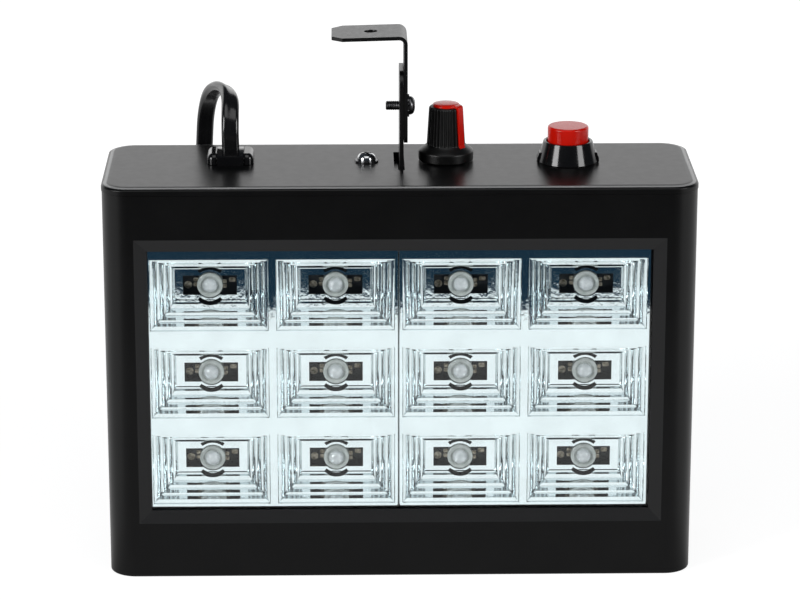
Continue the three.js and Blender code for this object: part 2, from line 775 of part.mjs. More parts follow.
// Reflector module: a metallised moulding, two columns by three rows of stepped cells
function reflectorModule() {
  const centres = cellCentres();
  const depth = CELL_DEPTH + CELL_FLOOR_T;
  const backWide = CELL_FLOOR_W + (CELL_W - CELL_FLOOR_W) / CELL_STEPS + 2 * REFLECTOR_SKIN;
  const backTall = CELL_FLOOR_H + (CELL_H - CELL_FLOOR_H) / CELL_STEPS + 2 * REFLECTOR_SKIN;
  const plate = prism(rectangle(MODULE_W, MODULE_H), -REFLECTOR_SKIN, 0);
  const cups = centres.map(([x, z]) => loft([
    { outline: rectangle(backWide, backTall), z: -depth },
    {
      outline: rectangle(CELL_W + 2 * REFLECTOR_SKIN, CELL_H + 2 * REFLECTOR_SKIN),
      z: -REFLECTOR_SKIN / 2,
    },
  ]).translate(x, z, 0));
  const posts = [-1, 1].map((side) => prism(
    circle(REFLECTOR_POST_D, TINY_FACETS),
    REFLECTOR_Y - LED_BOARD_Y + SEAM_GAP,
    -REFLECTOR_SKIN / 2,
  ).translate(0, (side * CELL_PITCH_Z) / 2, 0));
  const cavities = centres.flatMap(([x, z]) => [
    cellCavity(),
    prism(circle(LAMP_WELL_D, SMALL_FACETS), -CELL_DEPTH, -CELL_DEPTH + LAMP_WELL_D / 4),
    prism(circle(LAMP_HOLE_D, EMITTER_FACETS), -depth - OVERRUN, -CELL_DEPTH + CELL_FLOOR_T),
    prism(rectangle(LAMP_SLOT_W, LAMP_SLOT_H), -depth - OVERRUN, -CELL_DEPTH + CELL_FLOOR_T),
  ].map((cut) => cut.translate(x, z, 0)));
  const limit = toSolid(prism(rectangle(MODULE_W, MODULE_H), -LED_BOARD_Y + FACE_Y, OVERRUN));
  const solid = join([plate, ...cups, ...posts]).intersect(limit).subtract(join(cavities));
  return facingFront(toGeometry(solid));
}

// Emitter: a round body with a clear dome and two flat legs
function emitter() {
  const dome = [];
  for (let step = 0; step < EDGE_FACETS; step += 1) {
    const angle = (step / EDGE_FACETS) * (Math.PI / 2);
    dome.push([(DOME_D / 2) * Math.cos(angle), EMITTER_H + DOME_H * Math.sin(angle)]);
  }
  dome.push([0, EMITTER_H + DOME_H]);
  const body = turned([
    [0, 0],
    [EMITTER_D / 2, 0],
    [EMITTER_D / 2, EMITTER_H - EMITTER_CHAMFER],
    [EMITTER_D / 2 - EMITTER_CHAMFER, EMITTER_H],
    ...dome,
  ], EMITTER_FACETS);
  const legs = block(-LEG_REACH, LEG_REACH, -LEG_W / 2, LEG_W / 2, LEG_LIFT - LEG_T, LEG_LIFT);
  return facingFront(shaped(body, [legs]));
}

// LED board behind both reflector modules, reaching out to the shell's bosses
function ledBoard() {
  const board = block(
    -BOSS_X - LED_BOARD_MARGIN_X,
    BOSS_X + LED_BOARD_MARGIN_X,
    LED_BOARD_Y,
    LED_BOARD_Y + BOARD_T,
    MODULE_Z - LED_BOARD_H / 2,
    MODULE_Z + LED_BOARD_H / 2,
  );
  const holes = bossPlaces.map(([x, z]) => facingRear(
    prism(circle(M3_CLEAR_D, TINY_FACETS), LED_BOARD_Y - OVERRUN, LED_BOARD_Y + BOARD_T + OVERRUN),
  ).translate(x, 0, z));
  return shaped(board, [], holes);
}

// Pan-head screw along +Z: the seat of its head is at zero and its shank runs down
function panScrew(headD, headH, shankD, shankL, { facets = SMALL_FACETS, recess = true } = {}) {
  const body = turned([
    [0, -shankL],
    [shankD / 2 - shankD / 8, -shankL],
    [shankD / 2, -shankL + shankD / 8],
    [shankD / 2, 0],
    [headD / 2, 0],
    [headD / 2, headH / 2],
    [headD / 2 - headH / 4, headH - headH / 6],
    [headD / 4, headH],
    [0, headH],
  ], facets);
  if (!recess) {
    return shaped(body);
  }
  const arm = [RECESS_SPAN / 2, RECESS_W / 2];
  const slots = [arm, [...arm].reverse()].map(([x, y]) => block(
    -x,
    x,
    -y,
    y,
    headH - RECESS_DEPTH,
    headH + OVERRUN,
  ));
  return shaped(body, [], slots);
}

function washer(outerD, holeD, thickness, facets = SMALL_FACETS) {
  return turned([
    [holeD / 2, 0],
    [outerD / 2, 0],
    [outerD / 2, thickness],
    [holeD / 2, thickness],
    [holeD / 2, 0],
  ], facets);
}

// Driver board and what stands on it
function driverBoard() {
  const board = block(
    DRIVER_X - DRIVER_W / 2,
    DRIVER_X + DRIVER_W / 2,
    DRIVER_Y,
    DRIVER_Y + BOARD_T,
    DRIVER_Z - DRIVER_H / 2,
    DRIVER_Z + DRIVER_H / 2,
  );
  const holes = driverPosts.map(([x, z]) => facingRear(
    prism(circle(PIN_D + 2 * FIT_GAP, TINY_FACETS), DRIVER_Y - OVERRUN, DRIVER_Y + BOARD_T + OVERRUN),
  ).translate(x, 0, z));
  return shaped(board, [], holes);
}

function transformer() {
  const core = prism(rectangle(TRANSFORMER_W, TRANSFORMER_CORE_H), 0, TRANSFORMER_D);
  const winding = prism(
    roundedOutline(TRANSFORMER_WINDING_W, TRANSFORMER_H, TRANSFORMER_WINDING_R, EDGE_FACETS),
    TRANSFORMER_END_T,
    TRANSFORMER_D - TRANSFORMER_END_T,
  );
  return facingFront(shaped(core, [winding]));
}

function capacitor() {
  const radius = CAPACITOR_D / 2;
  const neckZ = CAPACITOR_L - CAPACITOR_NECK_L;
  return facingFront(turned([
    [0, 0],
    [radius, 0],
    [radius, neckZ - CAPACITOR_GROOVE],
    [radius - CAPACITOR_GROOVE, neckZ],
    [radius, neckZ + CAPACITOR_GROOVE],
    [radius, CAPACITOR_L - CAPACITOR_GROOVE],
    [radius - CAPACITOR_GROOVE, CAPACITOR_L],
    [0, CAPACITOR_L],
  ], SMALL_FACETS));
}

function terminalBlock() {
  const body = prism(rectangle(TERMINAL_W, TERMINAL_H), 0, TERMINAL_D);
  const wells = [-1, 0, 1].map((step) => prism(
    circle(TERMINAL_WELL_D, TINY_FACETS),
    TERMINAL_D / 2,
    TERMINAL_D + OVERRUN,
  ).translate((step * TERMINAL_W) / 3, 0, 0));
  return facingFront(shaped(body, [], wells));
}

// Potentiometer: round body under the lid, threaded bush through it
function speedPot() {
  const low = -LID_T - POT_BODY_H;
  const body = turned([
    [0, low],
    [POT_BODY_D / 2, low],
    [POT_BODY_D / 2, -LID_T - SEAM_GAP],
    [POT_BUSH_D / 2, -LID_T - SEAM_GAP],
    [POT_BUSH_D / 2, POT_BUSH_H - LID_T],
    [0, POT_BUSH_H - LID_T],
  ]);
  const tags = block(
    -POT_TAG_W / 2,
    POT_TAG_W / 2,
    0,
    POT_BODY_D / 2 + POT_TAG_L,
    low + POT_TAG_T,
    low + 2 * POT_TAG_T,
  );
  const boreLow = POT_BUSH_H - LID_T - POT_BORE_DEPTH;
  const bore = prism(circle(POT_BORE_D, SMALL_FACETS), boreLow, POT_BUSH_H + OVERRUN);
  return shaped(body, [tags], [bore]);
}

function hexNut(across, thickness, boreD) {
  return shaped(prism(hexagon(across), 0, thickness), [], [
    prism(circle(boreD, SMALL_FACETS), -OVERRUN, thickness + OVERRUN),
  ]);
}

function potShaft() {
  const low = POT_BUSH_H - LID_T - POT_BORE_DEPTH + FIT_GAP;
  const high = KNOB_LIFT + SHAFT_BORE_H - FIT_GAP;
  return turned([
    [0, low],
    [SHAFT_D / 2, low],
    [SHAFT_D / 2, high - SHAFT_STEP],
    [SHAFT_D / 2 - SHAFT_STEP, high],
    [0, high],
  ], SMALL_FACETS);
}

// Knob: fluted grip that tapers upwards out of a flared skirt, with the pointer let into it
function flutedOutline(diameter) {
  const outline = [];
  const depths = [0, 0, FLUTE_DEPTH];
  for (let i = 0; i < FLUTES * depths.length; i += 1) {
    const angle = ((i - 0.5) / (FLUTES * depths.length)) * 2 * Math.PI;
    const radius = diameter / 2 - depths[i % depths.length];
    outline.push(new THREE.Vector2(Math.cos(angle), Math.sin(angle)).multiplyScalar(radius));
  }
  return outline;
}

function pointerBar(clearance) {
  const topR = GRIP_TOP_D / 2;
  const lowZ = POINTER_FOOT_Z - clearance;
  const lowR = topR + ((GRIP_LOW_D - GRIP_TOP_D) / 2) * ((GRIP_TOP_H - lowZ) / GRIP_TOP_H);
  const deep = POINTER_T - POINTER_PROUD + clearance;
  const outline = [
    [0, GRIP_TOP_H - deep],
    [topR - deep, GRIP_TOP_H - deep],
    [lowR - deep, lowZ],
    [lowR + POINTER_PROUD + clearance, lowZ],
    [topR + POINTER_PROUD + clearance, GRIP_TOP_H - GRIP_EDGE],
    [topR - GRIP_EDGE, GRIP_TOP_H + POINTER_PROUD + clearance],
    [0, GRIP_TOP_H + POINTER_PROUD + clearance],
  ].map(([x, y]) => new THREE.Vector2(x, y));
  const width = POINTER_W + 2 * clearance;
  return facingFront(prism(outline, -width / 2, width / 2));
}

function capDisc() {
  const radius = CAP_DISC_D / 2;
  const low = GRIP_TOP_H + SEAM_GAP;
  const high = GRIP_TOP_H + CAP_DISC_T;
  return turned([
    [0, low],
    [radius, low],
    [radius, high - CAP_EDGE],
    [radius - CAP_EDGE, high],
    [0, high],
  ]);
}

function speedKnob() {
  const grip = loft([
    { outline: flutedOutline(GRIP_LOW_D), z: SKIRT_H },
    { outline: flutedOutline(GRIP_TOP_D), z: GRIP_TOP_H - GRIP_EDGE },
    { outline: flutedOutline(GRIP_TOP_D - 2 * GRIP_EDGE), z: GRIP_TOP_H },
  ]);
  const skirtR = SKIRT_D / 2;
  const gripR = GRIP_LOW_D / 2;
  const flare = FLARE_SHARES.map((share, i) => [
    gripR + (skirtR - gripR) * share,
    SKIRT_H + (FLARE_H * (i + 1)) / (FLARE_SHARES.length + 1),
  ]);
  const skirt = turned([
    [0, 0],
    [skirtR - SKIRT_EDGE, 0],
    [skirtR, SKIRT_EDGE],
    [skirtR, SKIRT_H - SKIRT_EDGE],
    [skirtR - SKIRT_EDGE, SKIRT_H],
    ...flare,
    [gripR - FLUTE_DEPTH, SKIRT_H + FLARE_H],
    [0, SKIRT_H + FLARE_H],
  ]);
  return shaped(grip, [skirt], [
    prism(circle(SKIRT_BORE_D), -OVERRUN, SKIRT_BORE_H),
    prism(circle(SHAFT_BORE_D, SMALL_FACETS), 0, SHAFT_BORE_H),
    pointerBar(FIT_GAP),
  ]);
}

function knobPointer() {
  return shaped(pointerBar(0), [capDisc()]);
}

// Button housing: conical bezel with two grip lugs, and a neck through the lid
function buttonHousing() {
  const body = turned([
    [0, -NECK_L],
    [NECK_D / 2, -NECK_L],
    [NECK_D / 2, 0],
    [BEZEL_LOW_D / 2 - BEZEL_EDGE, 0],
    [BEZEL_LOW_D / 2, BEZEL_EDGE],
    [BEZEL_TOP_D / 2, BEZEL_H - BEZEL_EDGE],
    [BEZEL_TOP_D / 2 - BEZEL_EDGE, BEZEL_H],
    [0, BEZEL_H],
  ]);
  const reach = BEZEL_LOW_D / 2 + BEZEL_LUG_OUT;
  const lugs = block(-reach, reach, -BEZEL_LUG_W / 2, BEZEL_LUG_W / 2, 0, BEZEL_LUG_H);
  return shaped(body, [lugs], [
    prism(circle(BUTTON_BORE_D), BEZEL_FLOOR_T, BEZEL_H + OVERRUN),
    prism(circle(NECK_BORE_D, SMALL_FACETS), -NECK_L - OVERRUN, BEZEL_H),
  ]);
}

const buttonLowZ = BEZEL_FLOOR_T + BUTTON_TRAVEL + FIT_GAP;

function buttonCap() {
  return turned([
    [0, buttonLowZ - STEM_L],
    [STEM_D / 2, buttonLowZ - STEM_L],
    [STEM_D / 2, buttonLowZ + SPRING_WELL_H],
    [SPRING_WELL_D / 2, buttonLowZ + SPRING_WELL_H],
    [SPRING_WELL_D / 2, buttonLowZ],
    [BUTTON_D / 2, buttonLowZ],
    [BUTTON_D / 2, BUTTON_TOP_H - BUTTON_EDGE],
    [BUTTON_D / 2 - BUTTON_EDGE / 3, BUTTON_TOP_H - BUTTON_EDGE / 3],
    [BUTTON_D / 2 - BUTTON_EDGE, BUTTON_TOP_H],
    [0, BUTTON_TOP_H],
  ]);
}

// Return spring: a helix between the bezel's floor and the well inside the button
class HelixCurve extends THREE.Curve {
  constructor(radius, low, high, curls) {
    super();
    Object.assign(this, { radius, low, high, curls });
  }

  getPoint(t) {
    const angle = t * this.curls * 2 * Math.PI;
    const z = this.low + (this.high - this.low) * t;
    return new THREE.Vector3(this.radius * Math.cos(angle), this.radius * Math.sin(angle), z);
  }
}

function buttonSpring() {
  const low = BEZEL_FLOOR_T + FIT_GAP + SPRING_WIRE / 2;
  const high = buttonLowZ + SPRING_WELL_H - FIT_GAP - SPRING_WIRE / 2;
  const curve = new HelixCurve((SPRING_D - SPRING_WIRE) / 2, low, high, SPRING_CURLS);
  const section = new THREE.Shape(circle(SPRING_WIRE, SPRING_SIDES));
  const steps = SPRING_CURLS * SPRING_STEPS_A_CURL;
  return new THREE.ExtrudeGeometry(section, { steps, extrudePath: curve });
}

function switchBody() {
  const low = -SWITCH_H;
  const body = prism(rectangle(SWITCH_W, SWITCH_W), low, 0);
  const tags = [-1, 1].map((side) => prism(
    rectangle(SWITCH_TAG_T, SWITCH_TAG_W),
    low - SWITCH_TAG_L,
    low + SWITCH_TAG_L,
  ).translate((side * SWITCH_TAG_PITCH) / 2, 0, 0));
  return shaped(body, tags, [prism(circle(SWITCH_WELL_D, SMALL_FACETS), low / 2, OVERRUN)]);
}

// Snap-in strain relief: two rounded cheeks and a middle block, with a barbed neck through the lid
function strainRelief() {
  const head = loft([
    { outline: roundedOutline(RELIEF_W, RELIEF_D, RELIEF_R), z: 0 },
    { outline: roundedOutline(RELIEF_W, RELIEF_D, RELIEF_R), z: RELIEF_H - RELIEF_EDGE },
    {
      outline: roundedOutline(
        RELIEF_W - 2 * RELIEF_EDGE,
        RELIEF_D - 2 * RELIEF_EDGE,
        RELIEF_R - RELIEF_EDGE,
      ),
      z: RELIEF_H,
    },
  ]);
  const middle = loft([
    { outline: rectangle(RELIEF_BLOCK_W, RELIEF_BLOCK_D), z: 0 },
    { outline: rectangle(RELIEF_BLOCK_W, RELIEF_BLOCK_D), z: RELIEF_H - RELIEF_BLOCK_EDGE },
    {
      outline: rectangle(
        RELIEF_BLOCK_W - 2 * RELIEF_BLOCK_EDGE,
        RELIEF_BLOCK_D - 2 * RELIEF_BLOCK_EDGE,
      ),
      z: RELIEF_H,
    },
  ]);
  const neckOutline = roundedOutline(RELIEF_NECK_W, RELIEF_NECK_D, RELIEF_NECK_R, EDGE_FACETS);
  const neck = prism(neckOutline, -LID_T - RELIEF_TAIL_L, RELIEF_H / 2);
  const barbLow = -LID_T - SEAM_GAP - RELIEF_TAIL_L / 2;
  const barb = loft([
    { outline: neckOutline, z: barbLow },
    {
      outline: roundedOutline(
        RELIEF_NECK_W + 2 * (FIT_GAP + RELIEF_BARB),
        RELIEF_NECK_D,
        RELIEF_NECK_R,
        EDGE_FACETS,
      ),
      z: -LID_T - SEAM_GAP,
    },
  ]);
  return shaped(head, [middle, neck, barb]);
}

// Bracket strip: foot under the lid, upright through the slot, rounded end
function bentStrip(outline, width) {
  return facingFront(prism(outline, -width / 2, width / 2));
}

function arcPoints(cx, cy, radius, from, to) {
  return Array.from({ length: EDGE_FACETS + 1 }, (_, i) => {
    const angle = from + ((to - from) * i) / EDGE_FACETS;
    return new THREE.Vector2(cx + radius * Math.cos(angle), cy + radius * Math.sin(angle));
  });
}

function endOutline(width, low, high, lowR, highR) {
  const x = width / 2;
  const right = Math.PI / 2;
  return [
    ...arcPoints(-x + lowR, low + lowR, lowR, 2 * right, 3 * right),
    ...arcPoints(x - lowR, low + lowR, lowR, 3 * right, 4 * right),
    ...arcPoints(x - highR, high - highR, highR, 0, right),
    ...arcPoints(-x + highR, high - highR, highR, right, 2 * right),
  ];
}

function acrossX(outline, x0, x1) {
  const geometry = prism(outline, x0, x1);
  return geometry.applyMatrix4(new THREE.Matrix4().makeBasis(
    new THREE.Vector3(0, 1, 0),
    new THREE.Vector3(0, 0, 1),
    new THREE.Vector3(1, 0, 0),
  ));
}

function bracketStrip() {
  const footTop = LID_UNDER_Z - SEAM_GAP;
  const footLow = footTop - STRIP_T;
  const x0 = STRIP_X;
  const x1 = STRIP_X + STRIP_T;
  const outerR = STRIP_BEND_R + STRIP_T;
  const right = Math.PI / 2;
  const outline = [
    new THREE.Vector2(x0 - STRIP_FOOT_L, footLow),
    ...arcPoints(x1 - outerR, footLow + outerR, outerR, -right, 0),
    new THREE.Vector2(x1, STRIP_TOP_Z),
    new THREE.Vector2(x0, STRIP_TOP_Z),
    ...arcPoints(x0 - STRIP_BEND_R, footTop + STRIP_BEND_R, STRIP_BEND_R, 0, -right),
    new THREE.Vector2(x0 - STRIP_FOOT_L, footTop),
  ];
  const footReach = OVERRUN + STRIP_FOOT_L;
  const end = acrossX(
    endOutline(STRIP_W, footLow - OVERRUN, STRIP_TOP_Z, STRIP_T / 2, STRIP_END_R),
    x0 - footReach,
    x1 + OVERRUN,
  );
  const pivotHole = acrossX(circle(M3_CLEAR_D, SMALL_FACETS), x0 - OVERRUN, x1 + OVERRUN);
  return clipped(bentStrip(outline, STRIP_W), [end], [
    hole(M3_CLEAR_D, FOOT_SCREW_X, 0, footLow - OVERRUN, footTop + OVERRUN),
    pivotHole.translate(0, 0, PIVOT_Z),
  ]);
}

// Hanging bracket: an angle that tilts on the pivot screw, with the hanging hole in its top leg
const hangerX0 = STRIP_X + STRIP_T + PIVOT_GAP;
const hangerX1 = hangerX0 + HANGER_T;

function hangingBracket() {
  const outerR = HANGER_BEND_R + HANGER_T;
  const right = Math.PI / 2;
  const innerZ = HANGER_TOP_Z - HANGER_T;
  const outline = [
    new THREE.Vector2(hangerX1, HANGER_LOW_Z),
    ...arcPoints(hangerX1 - outerR, HANGER_TOP_Z - outerR, outerR, 0, right),
    new THREE.Vector2(HANGER_REACH_X, HANGER_TOP_Z),
    new THREE.Vector2(HANGER_REACH_X, innerZ),
    ...arcPoints(hangerX0 - HANGER_BEND_R, innerZ - HANGER_BEND_R, HANGER_BEND_R, right, 0),
    new THREE.Vector2(hangerX0, HANGER_LOW_Z),
  ];
  const y = HANGER_W / 2;
  const chamfered = [
    [HANGER_REACH_X, y - HANGER_END_CHAMFER],
    [HANGER_REACH_X, -y + HANGER_END_CHAMFER],
    [HANGER_REACH_X + HANGER_END_CHAMFER, -y],
    [hangerX1 + OVERRUN, -y],
    [hangerX1 + OVERRUN, y],
    [HANGER_REACH_X + HANGER_END_CHAMFER, y],
  ].map(([px, py]) => new THREE.Vector2(px, py));
  const plan = prism(chamfered, HANGER_LOW_Z - OVERRUN, HANGER_TOP_Z + OVERRUN);
  const low = acrossX(
    endOutline(HANGER_W, HANGER_LOW_Z, HANGER_TOP_Z + OVERRUN, HANGER_LOW_R, HANGER_T),
    HANGER_REACH_X - OVERRUN,
    hangerX1 + OVERRUN,
  );
  const pivotHole = acrossX(circle(M3_CLEAR_D, SMALL_FACETS), hangerX0 - OVERRUN, hangerX1 + OVERRUN);
  return clipped(bentStrip(outline, HANGER_W), [plan, low], [
    hole(HANGER_HOLE_D, HANGER_HOLE_X, 0, innerZ - OVERRUN, HANGER_TOP_Z + OVERRUN),
    pivotHole.translate(0, 0, PIVOT_Z),
  ]);
}

// Flat cord: its curves carry a leaning frame, so that the wide side turns as the cord does
function leaningFrames(curve, steps, leanAt, referenceAt) {
  const frames = { tangents: [], normals: [], binormals: [] };
  for (let i = 0; i <= steps; i += 1) {
    const u = i / steps;
    const tangent = curve.getTangentAt(u);
    const reference = referenceAt(u);
    const wide = reference.addScaledVector(tangent, -reference.dot(tangent)).normalize();
    const thin = new THREE.Vector3().crossVectors(tangent, wide);
    const lean = leanAt(u);
    const normal = wide.clone().multiplyScalar(Math.cos(lean)).addScaledVector(thin, Math.sin(lean));
    frames.tangents.push(tangent);
    frames.normals.push(normal);
    frames.binormals.push(new THREE.Vector3().crossVectors(tangent, normal));
  }
  return frames;
}

function smooth(t) {
  const s = Math.min(1, Math.max(0, t));
  return s * s * (3 - 2 * s);
}

const up = new THREE.Vector3(0, 0, 1);

class CoilCurve extends THREE.Curve {
  constructor() {
    super();
    this.arcLengthDivisions = 1200;
    const length = 2 * Math.PI * COIL_TURNS * (COIL_INNER_R + (COIL_PITCH * COIL_MIDDLE) / 2);
    this.endShare = CORD_W / (length + 2 * CORD_W);
    this.startTangent = this.turnPoint(NEAR_TURNS).sub(this.turnPoint(0)).normalize();
    const nearEnd = this.turnPoint(COIL_TURNS - NEAR_TURNS);
    this.endTangent = this.turnPoint(COIL_TURNS).sub(nearEnd).normalize();
  }

  // In towards the middle, up one layer, and out again, clockwise seen from above
  turnPoint(turn) {
    const fromMiddle = turn - COIL_MIDDLE;
    const radius = COIL_INNER_R + COIL_PITCH * Math.hypot(fromMiddle, COIL_EASE_TURNS);
    const climb = smooth((fromMiddle + COIL_CLIMB_TURNS / 2) / COIL_CLIMB_TURNS);
    const angle = Math.PI - turn * 2 * Math.PI;
    const x = COIL_X + radius * Math.cos(angle);
    const y = COIL_Y + radius * Math.sin(angle);
    return new THREE.Vector3(x, y, COIL_LOW_Z + COIL_LAYER * climb);
  }

  getPoint(t) {
    if (t < this.endShare) {
      return this.turnPoint(0).addScaledVector(this.startTangent, -CORD_W * (1 - t / this.endShare));
    }
    if (t > 1 - this.endShare) {
      const along = CORD_W * ((t - 1 + this.endShare) / this.endShare);
      return this.turnPoint(COIL_TURNS).addScaledVector(this.endTangent, along);
    }
    return this.turnPoint(((t - this.endShare) / (1 - 2 * this.endShare)) * COIL_TURNS);
  }

  computeFrenetFrames(steps) {
    return leaningFrames(this, steps, () => 0, () => up.clone());
  }
}

class CordCurve extends THREE.CatmullRomCurve3 {
  constructor(points, leanAt, referenceAt) {
    super(points, false, 'centripetal');
    Object.assign(this, { leanAt, referenceAt, arcLengthDivisions: 800 });
  }

  computeFrenetFrames(steps) {
    return leaningFrames(this, steps, this.leanAt, this.referenceAt);
  }
}

function cordSection(sides) {
  const w = CORD_W / 2;
  const t = CORD_T / 2;
  const inset = w - CORD_ROUND;
  const drop = t - CORD_ROUND;
  const half = [[w, -drop], [w, drop], [inset, t], [-inset, t]];
  const eight = [...half, ...half.map(([x, y]) => [-x, -y])];
  const flatHalf = [[w, 0], [inset, t], [-inset, t]];
  const six = [...flatHalf, ...flatHalf.map(([x, y]) => [-x, -y])];
  return new THREE.Shape((sides === CORD_SIDES ? eight : six).map(([x, y]) => new THREE.Vector2(x, y)));
}

function toVectors(route) {
  return route.map(([x, y, z]) => new THREE.Vector3(x, y, z));
}

const coilCurve = new CoilCurve();

function leadCurve() {
  const start = coilCurve.getPoint(0);
  const along = coilCurve.startTangent;
  const points = [
    ...toVectors(LEAD_ROUTE),
    start.clone().addScaledVector(along, -FIT_GAP - CORD_W),
    start.clone().addScaledVector(along, -FIT_GAP),
  ];
  const leanAt = (u) => (smooth((u - LEAD_TWIST_SHARE) / (1 - LEAD_TWIST_SHARE)) * Math.PI) / 2;
  return new CordCurve(points, leanAt, () => new THREE.Vector3(1, 0, 0));
}

function tailCurve() {
  const end = coilCurve.getPoint(1);
  const along = coilCurve.endTangent;
  const plugEntry = new THREE.Vector3(PLUG_X, PLUG_Y + PLUG_SNOUT_L, PLUG_H / 2);
  const points = [
    end.clone().addScaledVector(along, FIT_GAP),
    end.clone().addScaledVector(along, FIT_GAP + CORD_W),
    ...toVectors(TAIL_ROUTE),
    plugEntry.clone().add(new THREE.Vector3(0, FIT_GAP + CORD_W, 0)),
    plugEntry.clone().add(new THREE.Vector3(0, FIT_GAP, 0)),
  ];
  const leanAt = (u) => (smooth(u) * Math.PI) / 2;
  return new CordCurve(points, leanAt, () => up.clone());
}

function cordTube(curve, steps, sides) {
  return new THREE.ExtrudeGeometry(cordSection(sides), { steps, extrudePath: curve });
}

// A lead inside the housing: it leaves one place along a direction and comes straight into the other
function slackCurve(start, out, end, into) {
  const [from, to] = toVectors([start, end]);
  const leaving = from.clone().addScaledVector(out, WIRE_REACH);
  const arriving = to.clone().addScaledVector(into, -WIRE_REACH);
  return new THREE.CubicBezierCurve3(from, leaving, arriving, to);
}

function wire(curve, diameter) {
  const section = new THREE.Shape(circle(diameter, WIRE_SIDES));
  return new THREE.ExtrudeGeometry(section, { steps: WIRE_STEPS, extrudePath: curve });
}

// Least distance between turns of the coil, on the corners of its tube
function leastGap(geometry, steps) {
  const position = geometry.attributes.position;
  const rings = new Map();
  const seen = new THREE.Vector3();
  const curvePoints = coilCurve.getSpacedPoints(steps);
  for (let i = 0; i < position.count; i += 1) {
    seen.fromBufferAttribute(position, i);
    rings.set(`${seen.x.toFixed(4)},${seen.y.toFixed(4)},${seen.z.toFixed(4)}`, seen.clone());
  }
  const corners = [...rings.values()].map((corner) => {
    let nearest = 0;
    let best = Infinity;
    curvePoints.forEach((point, i) => {
      const far = point.distanceToSquared(corner);
      if (far < best) {
        best = far;
        nearest = i;
      }
    });
    return { corner, nearest };
  });
  let least = Infinity;
  corners.forEach((a) => corners.forEach((b) => {
    if (Math.abs(a.nearest - b.nearest) > steps / COIL_TURNS / 2) {
      least = Math.min(least, a.corner.distanceTo(b.corner));
    }
  }));
  return least;
}

// Tie: a closed band round all the turns of the coil
function coilTie() {
  const low = COIL_INNER_R - CORD_T / 2 - TIE_GAP;
  const high = COIL_OUTER_R + COIL_PITCH / 4 + CORD_T / 2 + TIE_GAP;
  const bottom = COIL_LOW_Z - CORD_W / 2 - TIE_GAP;
  const top = COIL_LOW_Z + COIL_LAYER + CORD_W / 2 + TIE_GAP;
  const centre = [(low + high) / 2, (bottom + top) / 2];
  const wide = high - low;
  const tall = top - bottom;
  const outer = roundedOutline(wide + 2 * TIE_T, tall + 2 * TIE_T, 2 * TIE_T, EDGE_FACETS);
  const inner = roundedOutline(wide, tall, TIE_T, EDGE_FACETS);
  const band = shaped(
    prism(outer, -TIE_L / 2, TIE_L / 2),
    [],
    [prism(inner, -TIE_L / 2 - OVERRUN, TIE_L / 2 + OVERRUN)],
  );
  return facingFront(band.translate(centre[0], centre[1], 0));
}

// Plug: flat two-pin body along +Y, pins first, with a ribbed snout for the cord
function plugBody() {
  const sections = [
    [0, PLUG_FACE_W, PLUG_H, PLUG_R],
    [PLUG_FACE_L, PLUG_W, PLUG_H, PLUG_R],
    [PLUG_GRIP_L, PLUG_W, PLUG_H, PLUG_R],
    [PLUG_WAIST_L, PLUG_WAIST_W, PLUG_H, PLUG_R],
    [PLUG_L, PLUG_END_W, PLUG_END_H, PLUG_R],
  ].map(([z, w, h, r]) => ({ outline: roundedOutline(w, h, r, EDGE_FACETS), z }));
  const snout = loft([
    { outline: circle(PLUG_SNOUT_D, SMALL_FACETS), z: PLUG_L / 2 },
    { outline: circle(PLUG_SNOUT_TIP_D, SMALL_FACETS), z: PLUG_L + PLUG_SNOUT_L },
  ]);
  return facingRear(shaped(loft(sections), [snout]));
}

function plugPin() {
  return facingFront(turned([
    [0, 0],
    [PIN_THICK / 2, 0],
    [PIN_THICK / 2, PIN_LENGTH - PIN_TIP],
    [PIN_THICK / 2 - PIN_TIP, PIN_LENGTH],
    [0, PIN_LENGTH],
  ], SMALL_FACETS));
}

// Assembly
const strobe = new THREE.Group();

const housing = new THREE.Group();
strobe.add(housing);
place(housing, 'front_shell', frontShell(), satinBlack);
place(housing, 'top_plate', topPlate(), satinBlack);
place(housing, 'rear_cover', rearCover(), satinBlack);
place(housing, 'window_pane', windowPane(), clearPlastic, 0, PANE_Y, WINDOW_Z);
rearScrewPlaces.forEach(([x, z], i) => {
  const screw = panScrew(SCREW_HEAD_D, SCREW_HEAD_H, SCREW_D, REAR_SCREW_L - FIT_GAP, {
    facets: TINY_FACETS,
  });
  place(housing, `rear_screw_${i + 1}`, facingRear(screw), blackSteel, x, COVER_Y + WALL, z);
});

place(strobe, 'led_board', ledBoard(), boardBlack);
const lamps = new THREE.Group();
lamps.position.x = MODULE_SHIFT_X;
strobe.add(lamps);
[-1, 1].forEach((side, module) => {
  const name = side < 0 ? 'left' : 'right';
  const x = (side * MODULE_PITCH) / 2;
  place(lamps, `reflector_${name}`, reflectorModule(), mirrored, x, REFLECTOR_Y, MODULE_Z);
  cellCentres().forEach(([cellX, cellZ], i) => {
    const number = module * CELL_ROWS * MODULE_COLUMNS + i + 1;
    const lampX = x + cellX;
    place(lamps, `led_emitter_${number}`, emitter(), emitterGrey, lampX, LED_BOARD_Y, MODULE_Z + cellZ);
  });
});
bossPlaces.forEach(([x, z], i) => {
  const screw = panScrew(SCREW_HEAD_D, SCREW_HEAD_H, SCREW_D, BOARD_SCREW_L, {
    facets: TINY_FACETS,
    recess: false,
  });
  place(strobe, `led_screw_${i + 1}`, facingRear(screw), zincPlated, x, LED_BOARD_Y + BOARD_T, z);
});

